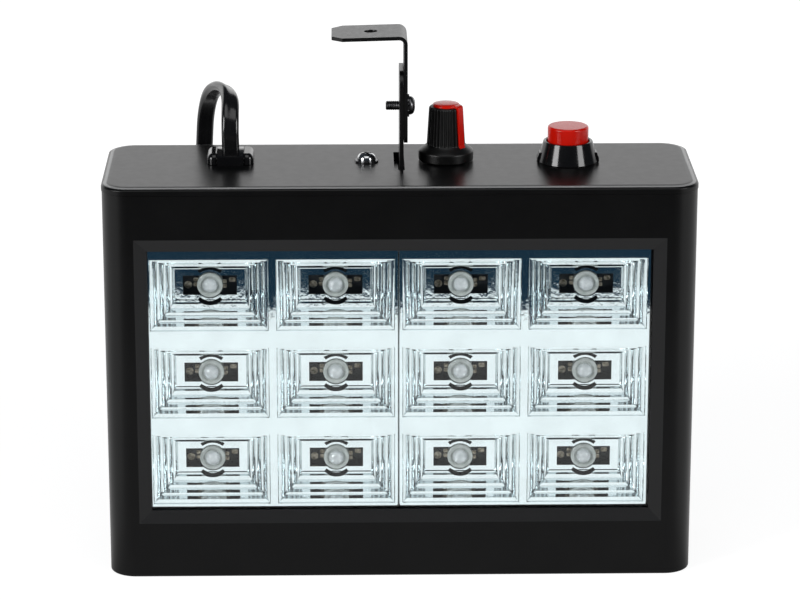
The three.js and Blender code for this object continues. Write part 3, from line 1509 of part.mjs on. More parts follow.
const driver = new THREE.Group();
strobe.add(driver);
place(driver, 'driver_board', driverBoard(), boardGreen);
const transformerZ = DRIVER_Z + TRANSFORMER_LIFT;
place(driver, 'transformer', transformer(), tapeYellow, TRANSFORMER_X, DRIVER_Y, transformerZ);
const capacitorZ = DRIVER_Z + CAPACITOR_LIFT;
place(driver, 'filter_capacitor', capacitor(), sleeveBlue, CAPACITOR_X, DRIVER_Y, capacitorZ);
place(driver, 'terminal_block', terminalBlock(), terminalGreen, TERMINAL_X, DRIVER_Y, TERMINAL_Z);

const speedControl = new THREE.Group();
speedControl.position.set(KNOB_X, KNOB_Y, BOX_H);
strobe.add(speedControl);
place(speedControl, 'speed_pot', speedPot(), blackSteel);
place(speedControl, 'pot_nut', hexNut(NUT_ACROSS, NUT_T, POT_BUSH_D + 2 * FIT_GAP), zincPlated);
place(speedControl, 'pot_shaft', potShaft(), zincPlated);
const knob = new THREE.Group();
knob.position.z = KNOB_LIFT;
knob.rotation.z = THREE.MathUtils.degToRad(KNOB_TURN_DEG);
speedControl.add(knob);
place(knob, 'speed_knob', speedKnob(), mattBlack);
place(knob, 'knob_pointer', knobPointer(), signalRed);

const modeControl = new THREE.Group();
modeControl.position.set(BUTTON_X, BUTTON_Y, BOX_H);
strobe.add(modeControl);
place(modeControl, 'button_housing', buttonHousing(), glossBlack);
place(modeControl, 'button_cap', buttonCap(), signalRed);
place(modeControl, 'button_spring', buttonSpring(), springSteel);
const buttonNut = hexNut(BUTTON_NUT_ACROSS, BUTTON_NUT_T, NECK_D + 2 * FIT_GAP);
place(modeControl, 'button_nut', buttonNut, zincPlated, 0, 0, -LID_T - BUTTON_NUT_T - SEAM_GAP);
place(modeControl, 'switch_body', switchBody(), switchBrown, 0, 0, -NECK_L - SEAM_GAP);

place(strobe, 'strain_relief', strainRelief(), glossBlack, RELIEF_X, RELIEF_Y, BOX_H);

const bracket = new THREE.Group();
bracket.position.y = BRACKET_Y;
strobe.add(bracket);
place(bracket, 'bracket_strip', bracketStrip(), blackSteel);
place(bracket, 'hanging_bracket', hangingBracket(), blackSteel);
const footScrew = panScrew(SCREW_HEAD_D, SCREW_HEAD_H, SCREW_D, FOOT_SCREW_L);
place(bracket, 'foot_screw', footScrew, chromed, FOOT_SCREW_X, 0, BOX_H + WASHER_T);
const footWasher = washer(FOOT_WASHER_D, M3_CLEAR_D, WASHER_T);
place(bracket, 'foot_washer', footWasher, blackSteel, FOOT_SCREW_X, 0, BOX_H);
const pivotSeatX = hangerX1 + PIVOT_GAP + WASHER_T;
const pivotWasher = facingRight(washer(PIVOT_WASHER_D, M3_CLEAR_D, WASHER_T));
place(bracket, 'pivot_washer', pivotWasher, blackSteel, hangerX1 + PIVOT_GAP, 0, PIVOT_Z);
const pivotScrew = panScrew(PIVOT_HEAD_D, PIVOT_HEAD_H, SCREW_D, pivotSeatX - PIVOT_TIP_X);
place(bracket, 'pivot_screw', facingRight(pivotScrew), blackSteel, pivotSeatX, 0, PIVOT_Z);

const down = new THREE.Vector3(0, 0, -1);
const rearward = new THREE.Vector3(0, 1, 0);
const innerCord = slackCurve(
  [RELIEF_X, RELIEF_Y, LID_UNDER_Z - RELIEF_TAIL_L - FIT_GAP],
  down,
  [TERMINAL_X, DRIVER_Y - TERMINAL_D / 2, TERMINAL_Z + TERMINAL_H / 2 + FIT_GAP],
  down,
);
innerCord.computeFrenetFrames = (steps) => leaningFrames(
  innerCord,
  steps,
  () => 0,
  () => new THREE.Vector3(1, 0, 0),
);
place(strobe, 'inner_cord', cordTube(innerCord, INNER_CORD_STEPS, CORD_SIDES), cordBlack);
const potLead = slackCurve(
  [
    KNOB_X,
    KNOB_Y + POT_BODY_D / 2 + POT_TAG_L - THIN_WIRE_D,
    LID_UNDER_Z - POT_BODY_H + POT_TAG_T - FIT_GAP,
  ],
  down,
  [POT_LEAD_X, DRIVER_Y + BOARD_T / 2, DRIVER_TOP_Z + FIT_GAP],
  down,
);
place(strobe, 'pot_lead', wire(potLead, THIN_WIRE_D), sleeveBlue);
const switchLead = slackCurve(
  [
    BUTTON_X - SWITCH_TAG_PITCH / 2,
    BUTTON_Y,
    BOX_H - NECK_L - SEAM_GAP - SWITCH_H - SWITCH_TAG_L - FIT_GAP,
  ],
  down,
  [SWITCH_LEAD_X, DRIVER_Y - FIT_GAP, DRIVER_Z + LEAD_OFFSET_Z],
  rearward,
);
place(strobe, 'switch_lead', wire(switchLead, THIN_WIRE_D), sleeveBlue);
const ledLead = slackCurve(
  [DRIVER_X - DRIVER_W / 2 + LEAD_INSET, DRIVER_Y - FIT_GAP, DRIVER_Z - LEAD_OFFSET_Z],
  rearward.clone().negate(),
  [LED_LEAD_INSET - BOSS_X, LED_BOARD_Y + BOARD_T + FIT_GAP, MODULE_Z - LED_LEAD_DROP],
  rearward.clone().negate(),
);
place(strobe, 'led_lead', wire(ledLead, WIRE_D), signalRed);

const cord = new THREE.Group();
strobe.add(cord);
place(cord, 'cord_lead', cordTube(leadCurve(), CORD_LEAD_STEPS, CORD_SIDES), cordBlack);
const coilSteps = Math.round(COIL_STEPS_A_TURN * COIL_TURNS);
const coilTube = cordTube(coilCurve, coilSteps, COIL_SIDES);
const coilGap = leastGap(coilTube, coilSteps);
console.log('least gap between the turns of the coil, mm:', coilGap.toFixed(2));
const lengths = [leadCurve(), coilCurve, tailCurve()].map((curve) => curve.getLength());
console.log('cord stretches, mm:', lengths.map((length) => length.toFixed(1)).join(' '));
place(cord, 'cord_coil', coilTube, cordBlack);
place(cord, 'cord_tail', cordTube(tailCurve(), CORD_TAIL_STEPS, CORD_SIDES), cordBlack);
const tie = place(cord, 'cord_tie', coilTie(), cordBlack, COIL_X, COIL_Y, 0);
tie.rotation.z = THREE.MathUtils.degToRad(TIE_ANGLE_DEG);
place(cord, 'power_plug', plugBody(), cordBlack, PLUG_X, PLUG_Y - PLUG_L, PLUG_H / 2);
[-1, 1].forEach((side) => {
  const name = side < 0 ? 'plug_pin_left' : 'plug_pin_right';
  const x = PLUG_X + (side * PIN_SPACING) / 2;
  place(cord, name, plugPin(), chromed, x, PLUG_Y - PLUG_L - SEAM_GAP, PLUG_H / 2);
});

export default strobe;
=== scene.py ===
"""Strobe light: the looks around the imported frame, seen as in the photograph."""

from math import asin, atan2, copysign, cos, degrees, dist, exp, hypot, pi, radians, sin, sqrt, tan

import bmesh
import bpy
from mathutils import Matrix, Vector


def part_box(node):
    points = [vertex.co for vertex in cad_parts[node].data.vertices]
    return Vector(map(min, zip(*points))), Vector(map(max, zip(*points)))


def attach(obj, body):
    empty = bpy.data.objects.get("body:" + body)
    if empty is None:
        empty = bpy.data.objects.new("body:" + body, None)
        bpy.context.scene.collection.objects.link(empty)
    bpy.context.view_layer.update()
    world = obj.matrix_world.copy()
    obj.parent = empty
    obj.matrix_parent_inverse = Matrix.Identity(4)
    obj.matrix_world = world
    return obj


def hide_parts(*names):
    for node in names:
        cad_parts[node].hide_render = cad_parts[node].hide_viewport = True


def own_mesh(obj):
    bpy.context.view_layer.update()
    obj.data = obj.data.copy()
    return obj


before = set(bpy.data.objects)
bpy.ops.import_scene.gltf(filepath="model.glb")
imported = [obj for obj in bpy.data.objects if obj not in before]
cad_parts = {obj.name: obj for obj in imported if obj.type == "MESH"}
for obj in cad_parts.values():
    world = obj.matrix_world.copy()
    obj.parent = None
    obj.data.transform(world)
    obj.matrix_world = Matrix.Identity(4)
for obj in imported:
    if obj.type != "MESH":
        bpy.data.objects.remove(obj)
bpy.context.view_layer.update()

MM = 0.001


# ---- places taken from the frame, in mm
def node_box(name):
    low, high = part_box(name)
    return low / MM, high / MM


def node_middle(name):
    low, high = node_box(name)
    return (low + high) / 2


LID_LOW, LID_HIGH = node_box("top_plate")
SHELL_LOW, SHELL_HIGH = node_box("front_shell")
LID_TOP = LID_HIGH.z
BOX_W = LID_HIGH.x - LID_LOW.x
BOX_D = LID_HIGH.y - LID_LOW.y
SHELL_W = SHELL_HIGH.x - SHELL_LOW.x
SHELL_D = SHELL_HIGH.y - SHELL_LOW.y
SHELL_TOP = SHELL_HIGH.z
KNOB = node_middle("pot_shaft").xy
BUTTON = node_middle("button_cap").xy
RELIEF = node_middle("strain_relief").xy
BRACKET_Y = node_middle("bracket_strip").y
PIVOT_Z = node_middle("pivot_washer").z

# ---- sizes in mm
LID_T = 2.2
LID_EDGE_IN = 3.0
LID_EDGE_DOWN = 0.9
CORNER_R = 8.0
WALL = 2.0
UNDERSIDE_EDGE = 0.6
CORNER_STEPS = 14
SEAM = 0.1
SCREW_PAD_HALF = 5.0
SCREW_PAD_L = 9.0

CAMERA_AT = (-16.82, -994.97, 383.14)
CAMERA_PITCH_DEG = 17.02
CAMERA_YAW_DEG = 0.985
CAMERA_LENS = 155.4
CAMERA_SENSOR = 36
CAMERA_REACH = 50

CORD_W = 5.2
CORD_T = 3.0
CORD_STEP = 1.2


# ---- forms: lists of points and faces, in mm
def rounded(width, depth, radius, steps=CORNER_STEPS):
    """Rectangle with rounded corners, anticlockwise."""
    points = []
    for index, (sx, sy) in enumerate(((1, -1), (1, 1), (-1, 1), (-1, -1))):
        cx, cy = sx * (width / 2 - radius), sy * (depth / 2 - radius)
        for step in range(steps + 1):
            angle = (index - 1 + step / steps) * pi / 2
            points.append((cx + radius * cos(angle), cy + radius * sin(angle)))
    return points


def rectangle(width, depth):
    x, y = width / 2, depth / 2
    return [(x, -y), (x, y), (-x, y), (-x, -y)]


def circle(diameter, facets=48):
    turn = 2 * pi / facets
    return [(diameter / 2 * cos(i * turn), diameter / 2 * sin(i * turn)) for i in range(facets)]


def at(outline, z):
    return [(x, y, z) for x, y in outline]


def skin(rings, closed_ends=True):
    """Faces over rings that have the same number of points."""
    count = len(rings[0])
    points = [Vector(p) for r in rings for p in r]
    faces = []
    for i in range(len(rings) - 1):
        a, b = i * count, (i + 1) * count
        for j in range(count):
            k = (j + 1) % count
            faces.append((a + j, a + k, b + k, b + j))
    if closed_ends:
        faces.append(tuple(reversed(range(count))))
        faces.append(tuple(range(len(points) - count, len(points))))
    return points, faces


def prism(outline, low, high):
    return skin([at(outline, low), at(outline, high)])


def block(x0, x1, y0, y1, z0, z1):
    return moved(prism(rectangle(x1 - x0, y1 - y0), z0, z1), (x0 + x1) / 2, (y0 + y1) / 2, 0)


def rod(diameter, low, high, facets=24):
    return prism(circle(diameter, facets), low, high)


def plate_ring(width, depth, radius, inset, z):
    """Outline of a plate with rounded corners, drawn in by the inset, at that height."""
    return at(rounded(width - 2 * inset, depth - 2 * inset, radius - inset), z)


def rounding(inward, down, steps):
    """How far in and how far down each point of a rounded edge lies, from the side to the top."""
    angles = [i / steps * pi / 2 for i in range(steps + 1)]
    return [(inward * (1 - cos(a)), down * (1 - sin(a))) for a in angles]


def turned(profile, facets=48):
    """A profile of radius and height, turned about the upright axis. It may start and end on the axis."""
    points, faces, rows = [], [], []
    for radius, z in profile:
        ring = at(circle(2 * radius, facets), z) if radius > 0 else [(0, 0, z)]
        rows.append(range(len(points), len(points) + len(ring)))
        points += [Vector(p) for p in ring]
    pairs = list(zip(rows, rows[1:]))
    if len(rows[0]) > 1 and len(rows[-1]) > 1:
        pairs.append((rows[-1], rows[0]))
    for low, high in pairs:
        for j in range(facets):
            k = (j + 1) % facets
            corners = (low[j % len(low)], low[k % len(low)], high[k % len(high)], high[j % len(high)])
            face = tuple(dict.fromkeys(corners))
            if len(face) > 2:
                faces.append(face)
    return points, faces


def joined(forms):
    """Several forms as one, without joining their surfaces."""
    points, faces = [], []
    for form in forms:
        faces += [tuple(i + len(points) for i in face) for face in form[1]]
        points += form[0]
    return points, faces


def moved(form, x=0, y=0, z=0):
    return [p + Vector((x, y, z)) for p in form[0]], form[1]


def by(form, matrix):
    return [matrix @ p for p in form[0]], form[1]


def to_front(form):
    return by(form, Matrix.Rotation(pi / 2, 4, "X"))


def to_rear(form):
    return by(form, Matrix.Rotation(-pi / 2, 4, "X"))


def to_right(form):
    return by(form, Matrix.Rotation(pi / 2, 4, "Y"))


def spun(form, angle):
    return by(form, Matrix.Rotation(radians(angle), 4, "Z"))


def arc(cx, cy, radius, start, end, steps):
    """Points on an arc, angles in degrees."""
    points = []
    for i in range(steps + 1):
        angle = radians(start + (end - start) * i / steps)
        points.append((cx + radius * cos(angle), cy + radius * sin(angle)))
    return points


def smooth(t):
    s = min(1.0, max(0.0, t))
    return s * s * (3 - 2 * s)


# ---- meshes
def added(name, data):
    made = bpy.data.objects.new(name, data)
    bpy.context.scene.collection.objects.link(made)
    return made


def raw_object(name, form):
    mesh = bpy.data.meshes.new(name)
    mesh.from_pydata([tuple(p * MM) for p in form[0]], [], form[1])
    work = bmesh.new()
    work.from_mesh(mesh)
    bmesh.ops.remove_doubles(work, verts=work.verts, dist=1e-7)
    bmesh.ops.recalc_face_normals(work, faces=work.faces)
    work.to_mesh(mesh)
    work.free()
    return added(name, mesh)


def settle(obj):
    """Applies the object's modifiers to its mesh."""
    graph = bpy.context.evaluated_depsgraph_get()
    mesh = bpy.data.meshes.new_from_object(obj.evaluated_get(graph))
    obj.modifiers.clear()
    old = obj.data
    obj.data = mesh
    bpy.data.meshes.remove(old)
    mesh.name = obj.name


def discard(obj):
    mesh = obj.data
    bpy.data.objects.remove(obj)
    bpy.data.meshes.remove(mesh)


def combine(obj, forms, operation):
    tools = [raw_object("tool", form) for form in forms]
    for tool in tools:
        change = obj.modifiers.new("change", "BOOLEAN")
        change.operation = operation
        change.solver = "EXACT"
        change.object = tool
    settle(obj)
    for tool in tools:
        discard(tool)


def soften(obj, width, segments=2, angle=40):
    edge = obj.modifiers.new("edge", "BEVEL")
    edge.width = width * MM
    edge.segments = segments
    edge.limit_method = "ANGLE"
    edge.angle_limit = radians(angle)
    settle(obj)


def shade(obj, angle=35):
    """Smooth surfaces with sharp edges above that angle, where large faces keep their flatness."""
    obj.data.shade_smooth()
    obj.data.set_sharp_from_angle(angle=radians(angle))
    normals = obj.modifiers.new("normals", "WEIGHTED_NORMAL")
    normals.keep_sharp = True
    settle(obj)


def dress(made, finish, slot, body="housing", replaces=(), angle=35):
    """Shading, finish and body of a piece, and the nodes that it replaces. The slot is not used."""
    shade(made, angle)
    made.data.materials.clear()
    made.data.materials.append(finish)
    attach(made, body)
    if replaces:
        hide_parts(*replaces)
    return made


def piece(name, form, finish, slot, way=None, where=(0, 0, 0), add=(), cut=(), edge=0, edge_angle=40, **dressing):
    """One piece of the object: its form, what is added and cut away, its edges and its dressing. Each form is
    turned by way, if that is given, and moved to where."""
    def placed(one):
        return moved(way(one) if way else one, *where)

    made = raw_object(name, placed(form))
    for forms, operation in ((add, "UNION"), (cut, "DIFFERENCE")):
        if forms:
            combine(made, [placed(one) for one in forms], operation)
    if edge:
        soften(made, edge, angle=edge_angle)
    return dress(made, finish, slot, **dressing)


# ---- camera
def make_camera():
    data = bpy.data.cameras.new("camera")
    data.lens = CAMERA_LENS
    data.sensor_width = CAMERA_SENSOR
    data.clip_end = CAMERA_REACH
    camera = added("camera", data)
    camera.location = Vector(CAMERA_AT) * MM
    camera.rotation_euler = (radians(90 - CAMERA_PITCH_DEG), 0, radians(-CAMERA_YAW_DEG))
    bpy.context.scene.camera = camera


# ---- materials
class Graph:
    """A node tree written as nested calls. What feeds an input is a value or another node's output."""

    def __init__(self, tree):
        self.tree = tree

    def feed(self, socket, value):
        if isinstance(value, bpy.types.NodeSocket):
            self.tree.links.new(value, socket)
        else:
            socket.default_value = value

    def node(self, kind, **inputs):
        made = self.tree.nodes.new("ShaderNode" + kind)
        for socket, value in inputs.items():
            self.feed(made.inputs[socket.replace("_", " ")], value)
        return made

    def fed(self, kind, *values, operation=None):
        """First output of a node whose inputs are fed in their order."""
        made = self.node(kind)
        if operation:
            made.operation = operation
        for socket, value in zip(made.inputs, values):
            self.feed(socket, value)
        return made.outputs[0]

    def calc(self, operation, *values):
        return self.fed("Math", *values, operation=operation)

    def blend(self, factor, first, second):
        """Colour between two."""
        made = self.node("Mix")
        made.data_type = "RGBA"
        for name, value in (("Factor", factor), ("A", first), ("B", second)):
            self.feed(made.inputs[name], value)
        return made.outputs["Result"]

    def ranged(self, value, low, high, start=0.3, end=0.7, kind="LINEAR"):
        made = self.node("MapRange", Value=value, From_Min=start, From_Max=end, To_Min=low, To_Max=high)
        made.interpolation_type = kind
        return made.outputs["Result"]

    def place(self, kind="Object"):
        return self.node("TexCoord").outputs[kind]

    def split(self, vector):
        return self.node("SeparateXYZ", Vector=vector).outputs

    def path(self):
        return self.node("LightPath").outputs


class Finish(Graph):
    """A Principled material with procedural detail. The scale of a noise is its grains in a metre."""

    def __init__(self, name, color, roughness, **sockets):
        self.material = bpy.data.materials.new(name)
        self.material.use_nodes = True
        super().__init__(self.material.node_tree)
        self.shader = self.tree.nodes["Principled BSDF"]
        values = {"Base Color": (*color, 1), "Roughness": roughness, **sockets}
        for socket, value in values.items():
            self.shader.inputs[socket.replace("_", " ")].default_value = value

    def noise(self, scale, detail):
        return self.node("TexNoise", Vector=self.place(), Scale=scale, Detail=detail).outputs["Fac"]

    def colors(self, scale, *stops, detail=3):
        """Two colours, each with its share of the noise's range."""
        ramp = self.node("ValToRGB", Fac=self.noise(scale, detail))
        for element, (where, color) in zip(ramp.color_ramp.elements, stops):
            element.position = where
            element.color = (*color, 1)
        self.feed(self.shader.inputs["Base Color"], ramp.outputs["Color"])
        return self

    def lighter(self, color, axis, lean, reach):
        """Painted sheen and highlight: a lighter colour where the surface's normal has that much of itself along an
        axis, within that distance of the middle plane."""
        normal = self.calc("ABSOLUTE", self.split(self.node("NewGeometry").outputs["Normal"])[axis])
        leaning = self.calc("MULTIPLY", self.ranged(normal, 0, 1, *lean[:2]), self.ranged(normal, 1, 0, *lean[2:]))
        aside = self.calc("ABSOLUTE", self.split(self.place())[0])
        near = self.ranged(aside, 1, 0, reach, reach + MM)
        base = self.shader.inputs["Base Color"]
        self.feed(base, self.blend(self.calc("MULTIPLY", leaning, near), base.links[0].from_socket, (*color, 1)))
        return self

    def rough(self, scale, low, high, detail=3):
        self.feed(self.shader.inputs["Roughness"], self.ranged(self.noise(scale, detail), low, high))
        return self

    def bump(self, scale, strength, height, detail=3):
        """The finished material, with a grain of that height in millimetres."""
        grain = self.node("Bump", Strength=strength, Distance=height * MM, Height=self.noise(scale, detail))
        self.feed(self.shader.inputs["Normal"], grain.outputs["Normal"])
        return self.material

    def show(self, surface):
        self.feed(self.tree.nodes["Material Output"].inputs["Surface"], surface)
        return self.material


# How much of the normal lies along an axis where painted light starts, is full, is still full and ends
BEVEL_SHEEN_LEAN = (0.3, 0.4, 0.96, 0.985)
BEVEL_REACH = 0.0785
# Painted reflection: the lighter grey painted on the window's leaning bevels
BEVEL_SHEEN_COLOR = (0.018, 0.018, 0.0185)
LID_HIGHLIGHT_LEAN = (0.93, 0.955, 0.984, 0.993)
# Painted highlight: the light grey line painted along the lid's rounded edge
LID_HIGHLIGHT_COLOR = (0.32, 0.32, 0.32)


def lid_black():
    # The lid's black paint, with a painted highlight along its rounded edge
    return satin_black("lid_black", (LID_HIGHLIGHT_COLOR, 2, LID_HIGHLIGHT_LEAN, BOX_W))


def satin_black(name="satin_black", painted_sheen=(BEVEL_SHEEN_COLOR, 1, BEVEL_SHEEN_LEAN, BEVEL_REACH)):
    """Black paint with painted sheen: leaning faces are painted lighter, standing in for the reflections they would
    show.
    """
    made = Finish(name, (0.0022, 0.0022, 0.0024), 0.3, Specular_IOR_Level=0.3)
    made.colors(90, (0.35, (0.0018, 0.0018, 0.002)), (0.7, (0.0027, 0.0027, 0.0029)), detail=4)
    return made.lighter(*painted_sheen).rough(420, 0.29, 0.32, 2).bump(4200, 0.07, 0.02, 2)


def gloss_black():
    made = Finish("gloss_black", (0.005, 0.005, 0.0055), 0.12, Specular_IOR_Level=0.5)
    made.colors(160, (0.3, (0.004, 0.004, 0.0045)), (0.7, (0.006, 0.006, 0.0065)))
    return made.rough(500, 0.09, 0.16).bump(900, 0.06, 0.02)


def matt_black():
    made = Finish("matt_black", (0.003, 0.003, 0.003), 0.34, Specular_IOR_Level=0.26)
    made.colors(300, (0.3, (0.0022, 0.0022, 0.0022)), (0.7, (0.004, 0.004, 0.004)))
    return made.rough(800, 0.3, 0.42).bump(3600, 0.35, 0.03, 2)


def signal_red():
    made = Finish("signal_red", (0.6, 0.007, 0.0015), 0.2, Specular_IOR_Level=0.28)
    made.colors(220, (0.3, (0.56, 0.006, 0.0012)), (0.7, (0.62, 0.008, 0.0018)))
    return made.rough(600, 0.15, 0.24).bump(1500, 0.06, 0.02)


def clear_window():
    """Plastic pane that lets shadow rays and diffuse rays straight through."""
    made = Finish("clear_window", (0.93, 0.97, 0.98), 0.0, Transmission_Weight=1.0, IOR=1.4)
    made.bump(25, 0.02, 0.02, 1)
    path = made.path()
    passing = made.calc("MAXIMUM", path["Is Shadow Ray"], path["Is Diffuse Ray"])
    return made.show(made.fed("MixShader", passing, made.shader.outputs[0], made.fed("BsdfTransparent")))


def mirror_coat():
    made = Finish("mirror_coat", (0.74, 0.78, 0.79), 0.07, Metallic=1.0)
    made.colors(120, (0.3, (0.71, 0.75, 0.76)), (0.7, (0.77, 0.81, 0.82)))
    return made.rough(900, 0.015, 0.06).bump(700, 0.7, 0.02)


def board_mask():
    made = Finish("board_mask", (0.003, 0.004, 0.005), 0.4, Specular_IOR_Level=0.3)
    return made.colors(400, (0.4, (0.002, 0.003, 0.004)), (0.62, (0.004, 0.006, 0.008))).bump(1400, 0.1, 0.02)


def board_green():
    made = Finish("board_green", (0.02, 0.12, 0.05), 0.4)
    return made.colors(260, (0.4, (0.014, 0.1, 0.04)), (0.62, (0.03, 0.15, 0.07))).bump(1400, 0.1, 0.02)


def solder_gold():
    made = Finish("solder_gold", (0.5, 0.42, 0.28), 0.35, Metallic=1.0)
    return made.colors(1200, (0.35, (0.1, 0.085, 0.06)), (0.65, (0.34, 0.3, 0.24))).bump(1600, 0.3, 0.05)


def emitter_resin():
    made = Finish("emitter_resin", (0.4, 0.41, 0.39), 0.22, Coat_Weight=0.6, Coat_Roughness=0.08)
    return made.colors(500, (0.35, (0.40, 0.43, 0.41)), (0.65, (0.52, 0.55, 0.53))).bump(900, 0.15, 0.03)


def emitter_dome():
    made = Finish("emitter_dome", (0.78, 0.81, 0.81), 0.07, Transmission_Weight=0.25, IOR=1.5, Coat_Weight=1.0)
    return made.colors(600, (0.35, (0.66, 0.7, 0.71)), (0.65, (0.84, 0.87, 0.88))).bump(500, 0.05, 0.02)


def black_steel():
    made = Finish("black_steel", (0.003, 0.003, 0.0033), 0.3, Specular_IOR_Level=0.4)
    made.colors(200, (0.3, (0.0024, 0.0024, 0.0026)), (0.7, (0.004, 0.004, 0.0043)))
    return made.rough(700, 0.27, 0.33).bump(2400, 0.05, 0.02)


def dark_nickel():
    made = Finish("dark_nickel", (0.13, 0.13, 0.135), 0.3, Metallic=1.0)
    made.colors(700, (0.3, (0.09, 0.09, 0.095)), (0.7, (0.18, 0.18, 0.185)))
    return made.rough(900, 0.22, 0.38).bump(1800, 0.12, 0.02)


def chromed():
    made = Finish("chromed", (0.6, 0.61, 0.62), 0.14, Metallic=1.0)
    return made.rough(900, 0.08, 0.2).bump(1200, 0.08, 0.02)


def zinc_plated():
    made = Finish("zinc_plated", (0.5, 0.51, 0.5), 0.35, Metallic=1.0)
    return made.colors(500, (0.35, (0.42, 0.43, 0.42)), (0.65, (0.56, 0.57, 0.56))).bump(1500, 0.15, 0.02)


def cord_black():
    made = Finish("cord_black", (0.005, 0.005, 0.0055), 0.18, Specular_IOR_Level=0.6)
    made.colors(150, (0.3, (0.004, 0.004, 0.0044)), (0.7, (0.0065, 0.0065, 0.007)))
    return made.rough(350, 0.14, 0.22).bump(500, 0.12, 0.03)


def plain(name, color, roughness, metallic=0.0, grain=600):
    """A moulded or wound inner part: slightly uneven colour and a fine grain."""
    made = Finish(name, color, roughness, Metallic=metallic)
    return made.colors(grain, (0.35, tuple(c * 0.8 for c in color)), (0.65, color)).bump(grain * 3, 0.15, 0.02)


# ---- flat cord
COIL = (-29, 102)
COIL_INNER_R = 23.1
COIL_PITCH = 3.9
COIL_TURNS = 5.25
COIL_POINTS = 1200
COIL_LOW_Z = 3.9
COIL_LAYER = 5.9
COIL_CLIMB_TURNS = 0.5
COIL_EASE_TURNS = 0.1
FIT_GAP = 0.3
PLUG_ENTRY = (30, 108, 6.85)
LEAD_ROUTE = [
    (-50.2, 5.4, 124.4), (-50.3, 5.5, 129.3), (-50.3, 7.3, 134), (-50.4, 12.1, 137.5), (-51.6, 19, 138.8),
    (-54.2, 26.4, 138.1), (-56.9, 32.9, 134.5), (-58.6, 37.4, 127.5), (-59.4, 39.4, 117), (-60.2, 40.4, 100),
    (-60.9, 40.8, 80), (-61.4, 41.1, 60), (-61.8, 42, 42), (-62, 44.6, 26), (-62.2, 50, 13.5),
    (-62.3, 58.4, 5), (-62.35, 67, 2.3), (-62.4, 76, 2.6), (-62.45, 84, 3.3),
]
TAIL_ROUTE = [
    (-12, 135.6, 9.4), (-2, 135.6, 9), (9.2, 135.3, 8.4), (17.2, 133.7, 7.8), (23.9, 129.2, 7.3),
    (28.4, 122.5, 7),
]
LEAD_TWIST_SHARE = 0.86
ARCH_TWIST_DEG = 34
ARCH_TWIST_AT = 22.0
ARCH_TWIST_WIDE = 11.0


def curve_through(route, per_span=24):
    """Centripetal Catmull-Rom curve through the points of a route, as many points close together."""
    points = [Vector(p) for p in route]
    points = [2 * points[0] - points[1], *points, 2 * points[-1] - points[-2]]
    made = []
    for p0, p1, p2, p3 in zip(points, points[1:], points[2:], points[3:]):
        d0, d1, d2 = (sqrt((b - a).length) for a, b in ((p0, p1), (p1, p2), (p2, p3)))
        t1 = ((p1 - p0) / d0 - (p2 - p0) / (d0 + d1) + (p2 - p1) / d1) * d1
        t2 = ((p2 - p1) / d1 - (p3 - p1) / (d1 + d2) + (p3 - p2) / d2) * d1
        for i in range(per_span):
            t = i / per_span
            made.append(
                p1 * (2 * t**3 - 3 * t**2 + 1) + t1 * (t**3 - 2 * t**2 + t)
                + p2 * (3 * t**2 - 2 * t**3) + t2 * (t**3 - t**2)
            )
    return [*made, points[-2]]


def coil_point(turn):
    """In towards the middle, up one layer, and out again, clockwise seen from above."""
    from_middle = turn - COIL_TURNS / 2
    radius = COIL_INNER_R + COIL_PITCH * hypot(from_middle, COIL_EASE_TURNS)
    climb = smooth((from_middle + COIL_CLIMB_TURNS / 2) / COIL_CLIMB_TURNS)
    angle = pi - turn * 2 * pi
    return Vector((COIL[0] + radius * cos(angle), COIL[1] + radius * sin(angle), COIL_LOW_Z + COIL_LAYER * climb))


def evenly(points, step):
    """The same line with its points that far apart."""
    made, left = [points[0]], step
    for a, b in zip(points, points[1:]):
        length, done = (b - a).length, 0.0
        while length - done >= left:
            done += left
            made.append(a + (b - a) * (done / length))
            left = step
        left -= length - done
    if (points[-1] - made[-1]).length > step / 3:
        made.append(points[-1])
    return made


def tangents(points):
    ends = [points[0], *points, points[-1]]
    return [(after - before).normalized() for before, after in zip(ends, ends[2:])]


def cord_line():
    """Centre points of the whole cord and the direction of its wide side at each."""
    near = 0.0001
    coil_start = coil_point(0)
    coil_end = coil_point(COIL_TURNS)
    start_way = (coil_point(near) - coil_start).normalized()
    end_way = (coil_end - coil_point(COIL_TURNS - near)).normalized()
    entry = coil_start - start_way * CORD_W
    leaving = coil_end + end_way * CORD_W
    lead = curve_through([*LEAD_ROUTE, entry - start_way * (FIT_GAP + CORD_W), entry - start_way * FIT_GAP])
    plug = Vector(PLUG_ENTRY)
    tail = curve_through([
        leaving + end_way * FIT_GAP,
        leaving + end_way * (FIT_GAP + CORD_W),
        *TAIL_ROUTE,
        plug + Vector((0, FIT_GAP + CORD_W, 0)),
        plug + Vector((0, FIT_GAP, 0)),
    ])
    turns = [coil_point(COIL_TURNS * i / COIL_POINTS) for i in range(COIL_POINTS + 1)]
    lead, turns, tail = (evenly(line, CORD_STEP) for line in (lead, [entry, *turns, leaving], tail))
    points = [*lead, *turns, *tail]
    ways = tangents(points)
    wide = []
    up, right = Vector((0, 0, 1)), Vector((1, 0, 0))
    for i, way in enumerate(ways):
        if i < len(lead):
            reference = right
            lean = smooth((i / (len(lead) - 1) - LEAD_TWIST_SHARE) / (1 - LEAD_TWIST_SHARE))
            lean += ARCH_TWIST_DEG / 90 * exp(-((i * CORD_STEP - ARCH_TWIST_AT) / ARCH_TWIST_WIDE) ** 2)
        else:
            reference = up
            lean = smooth((i - len(lead) - len(turns)) / (len(tail) - 1))
        across = (reference - way * reference.dot(way)).normalized()
        angle = lean * pi / 2
        side = across * cos(angle) + way.cross(across) * sin(angle)
        if wide and side.dot(wide[-1]) < 0:
            side = -side
        wide.append(side)
    return points, ways, wide


CORD_ROUND = 1.15
CORD_VALLEY = 0.07
VALLEY_SHARE = 0.55
VALLEY_X = (0.9, 0.45, 0, -0.45, -0.9)


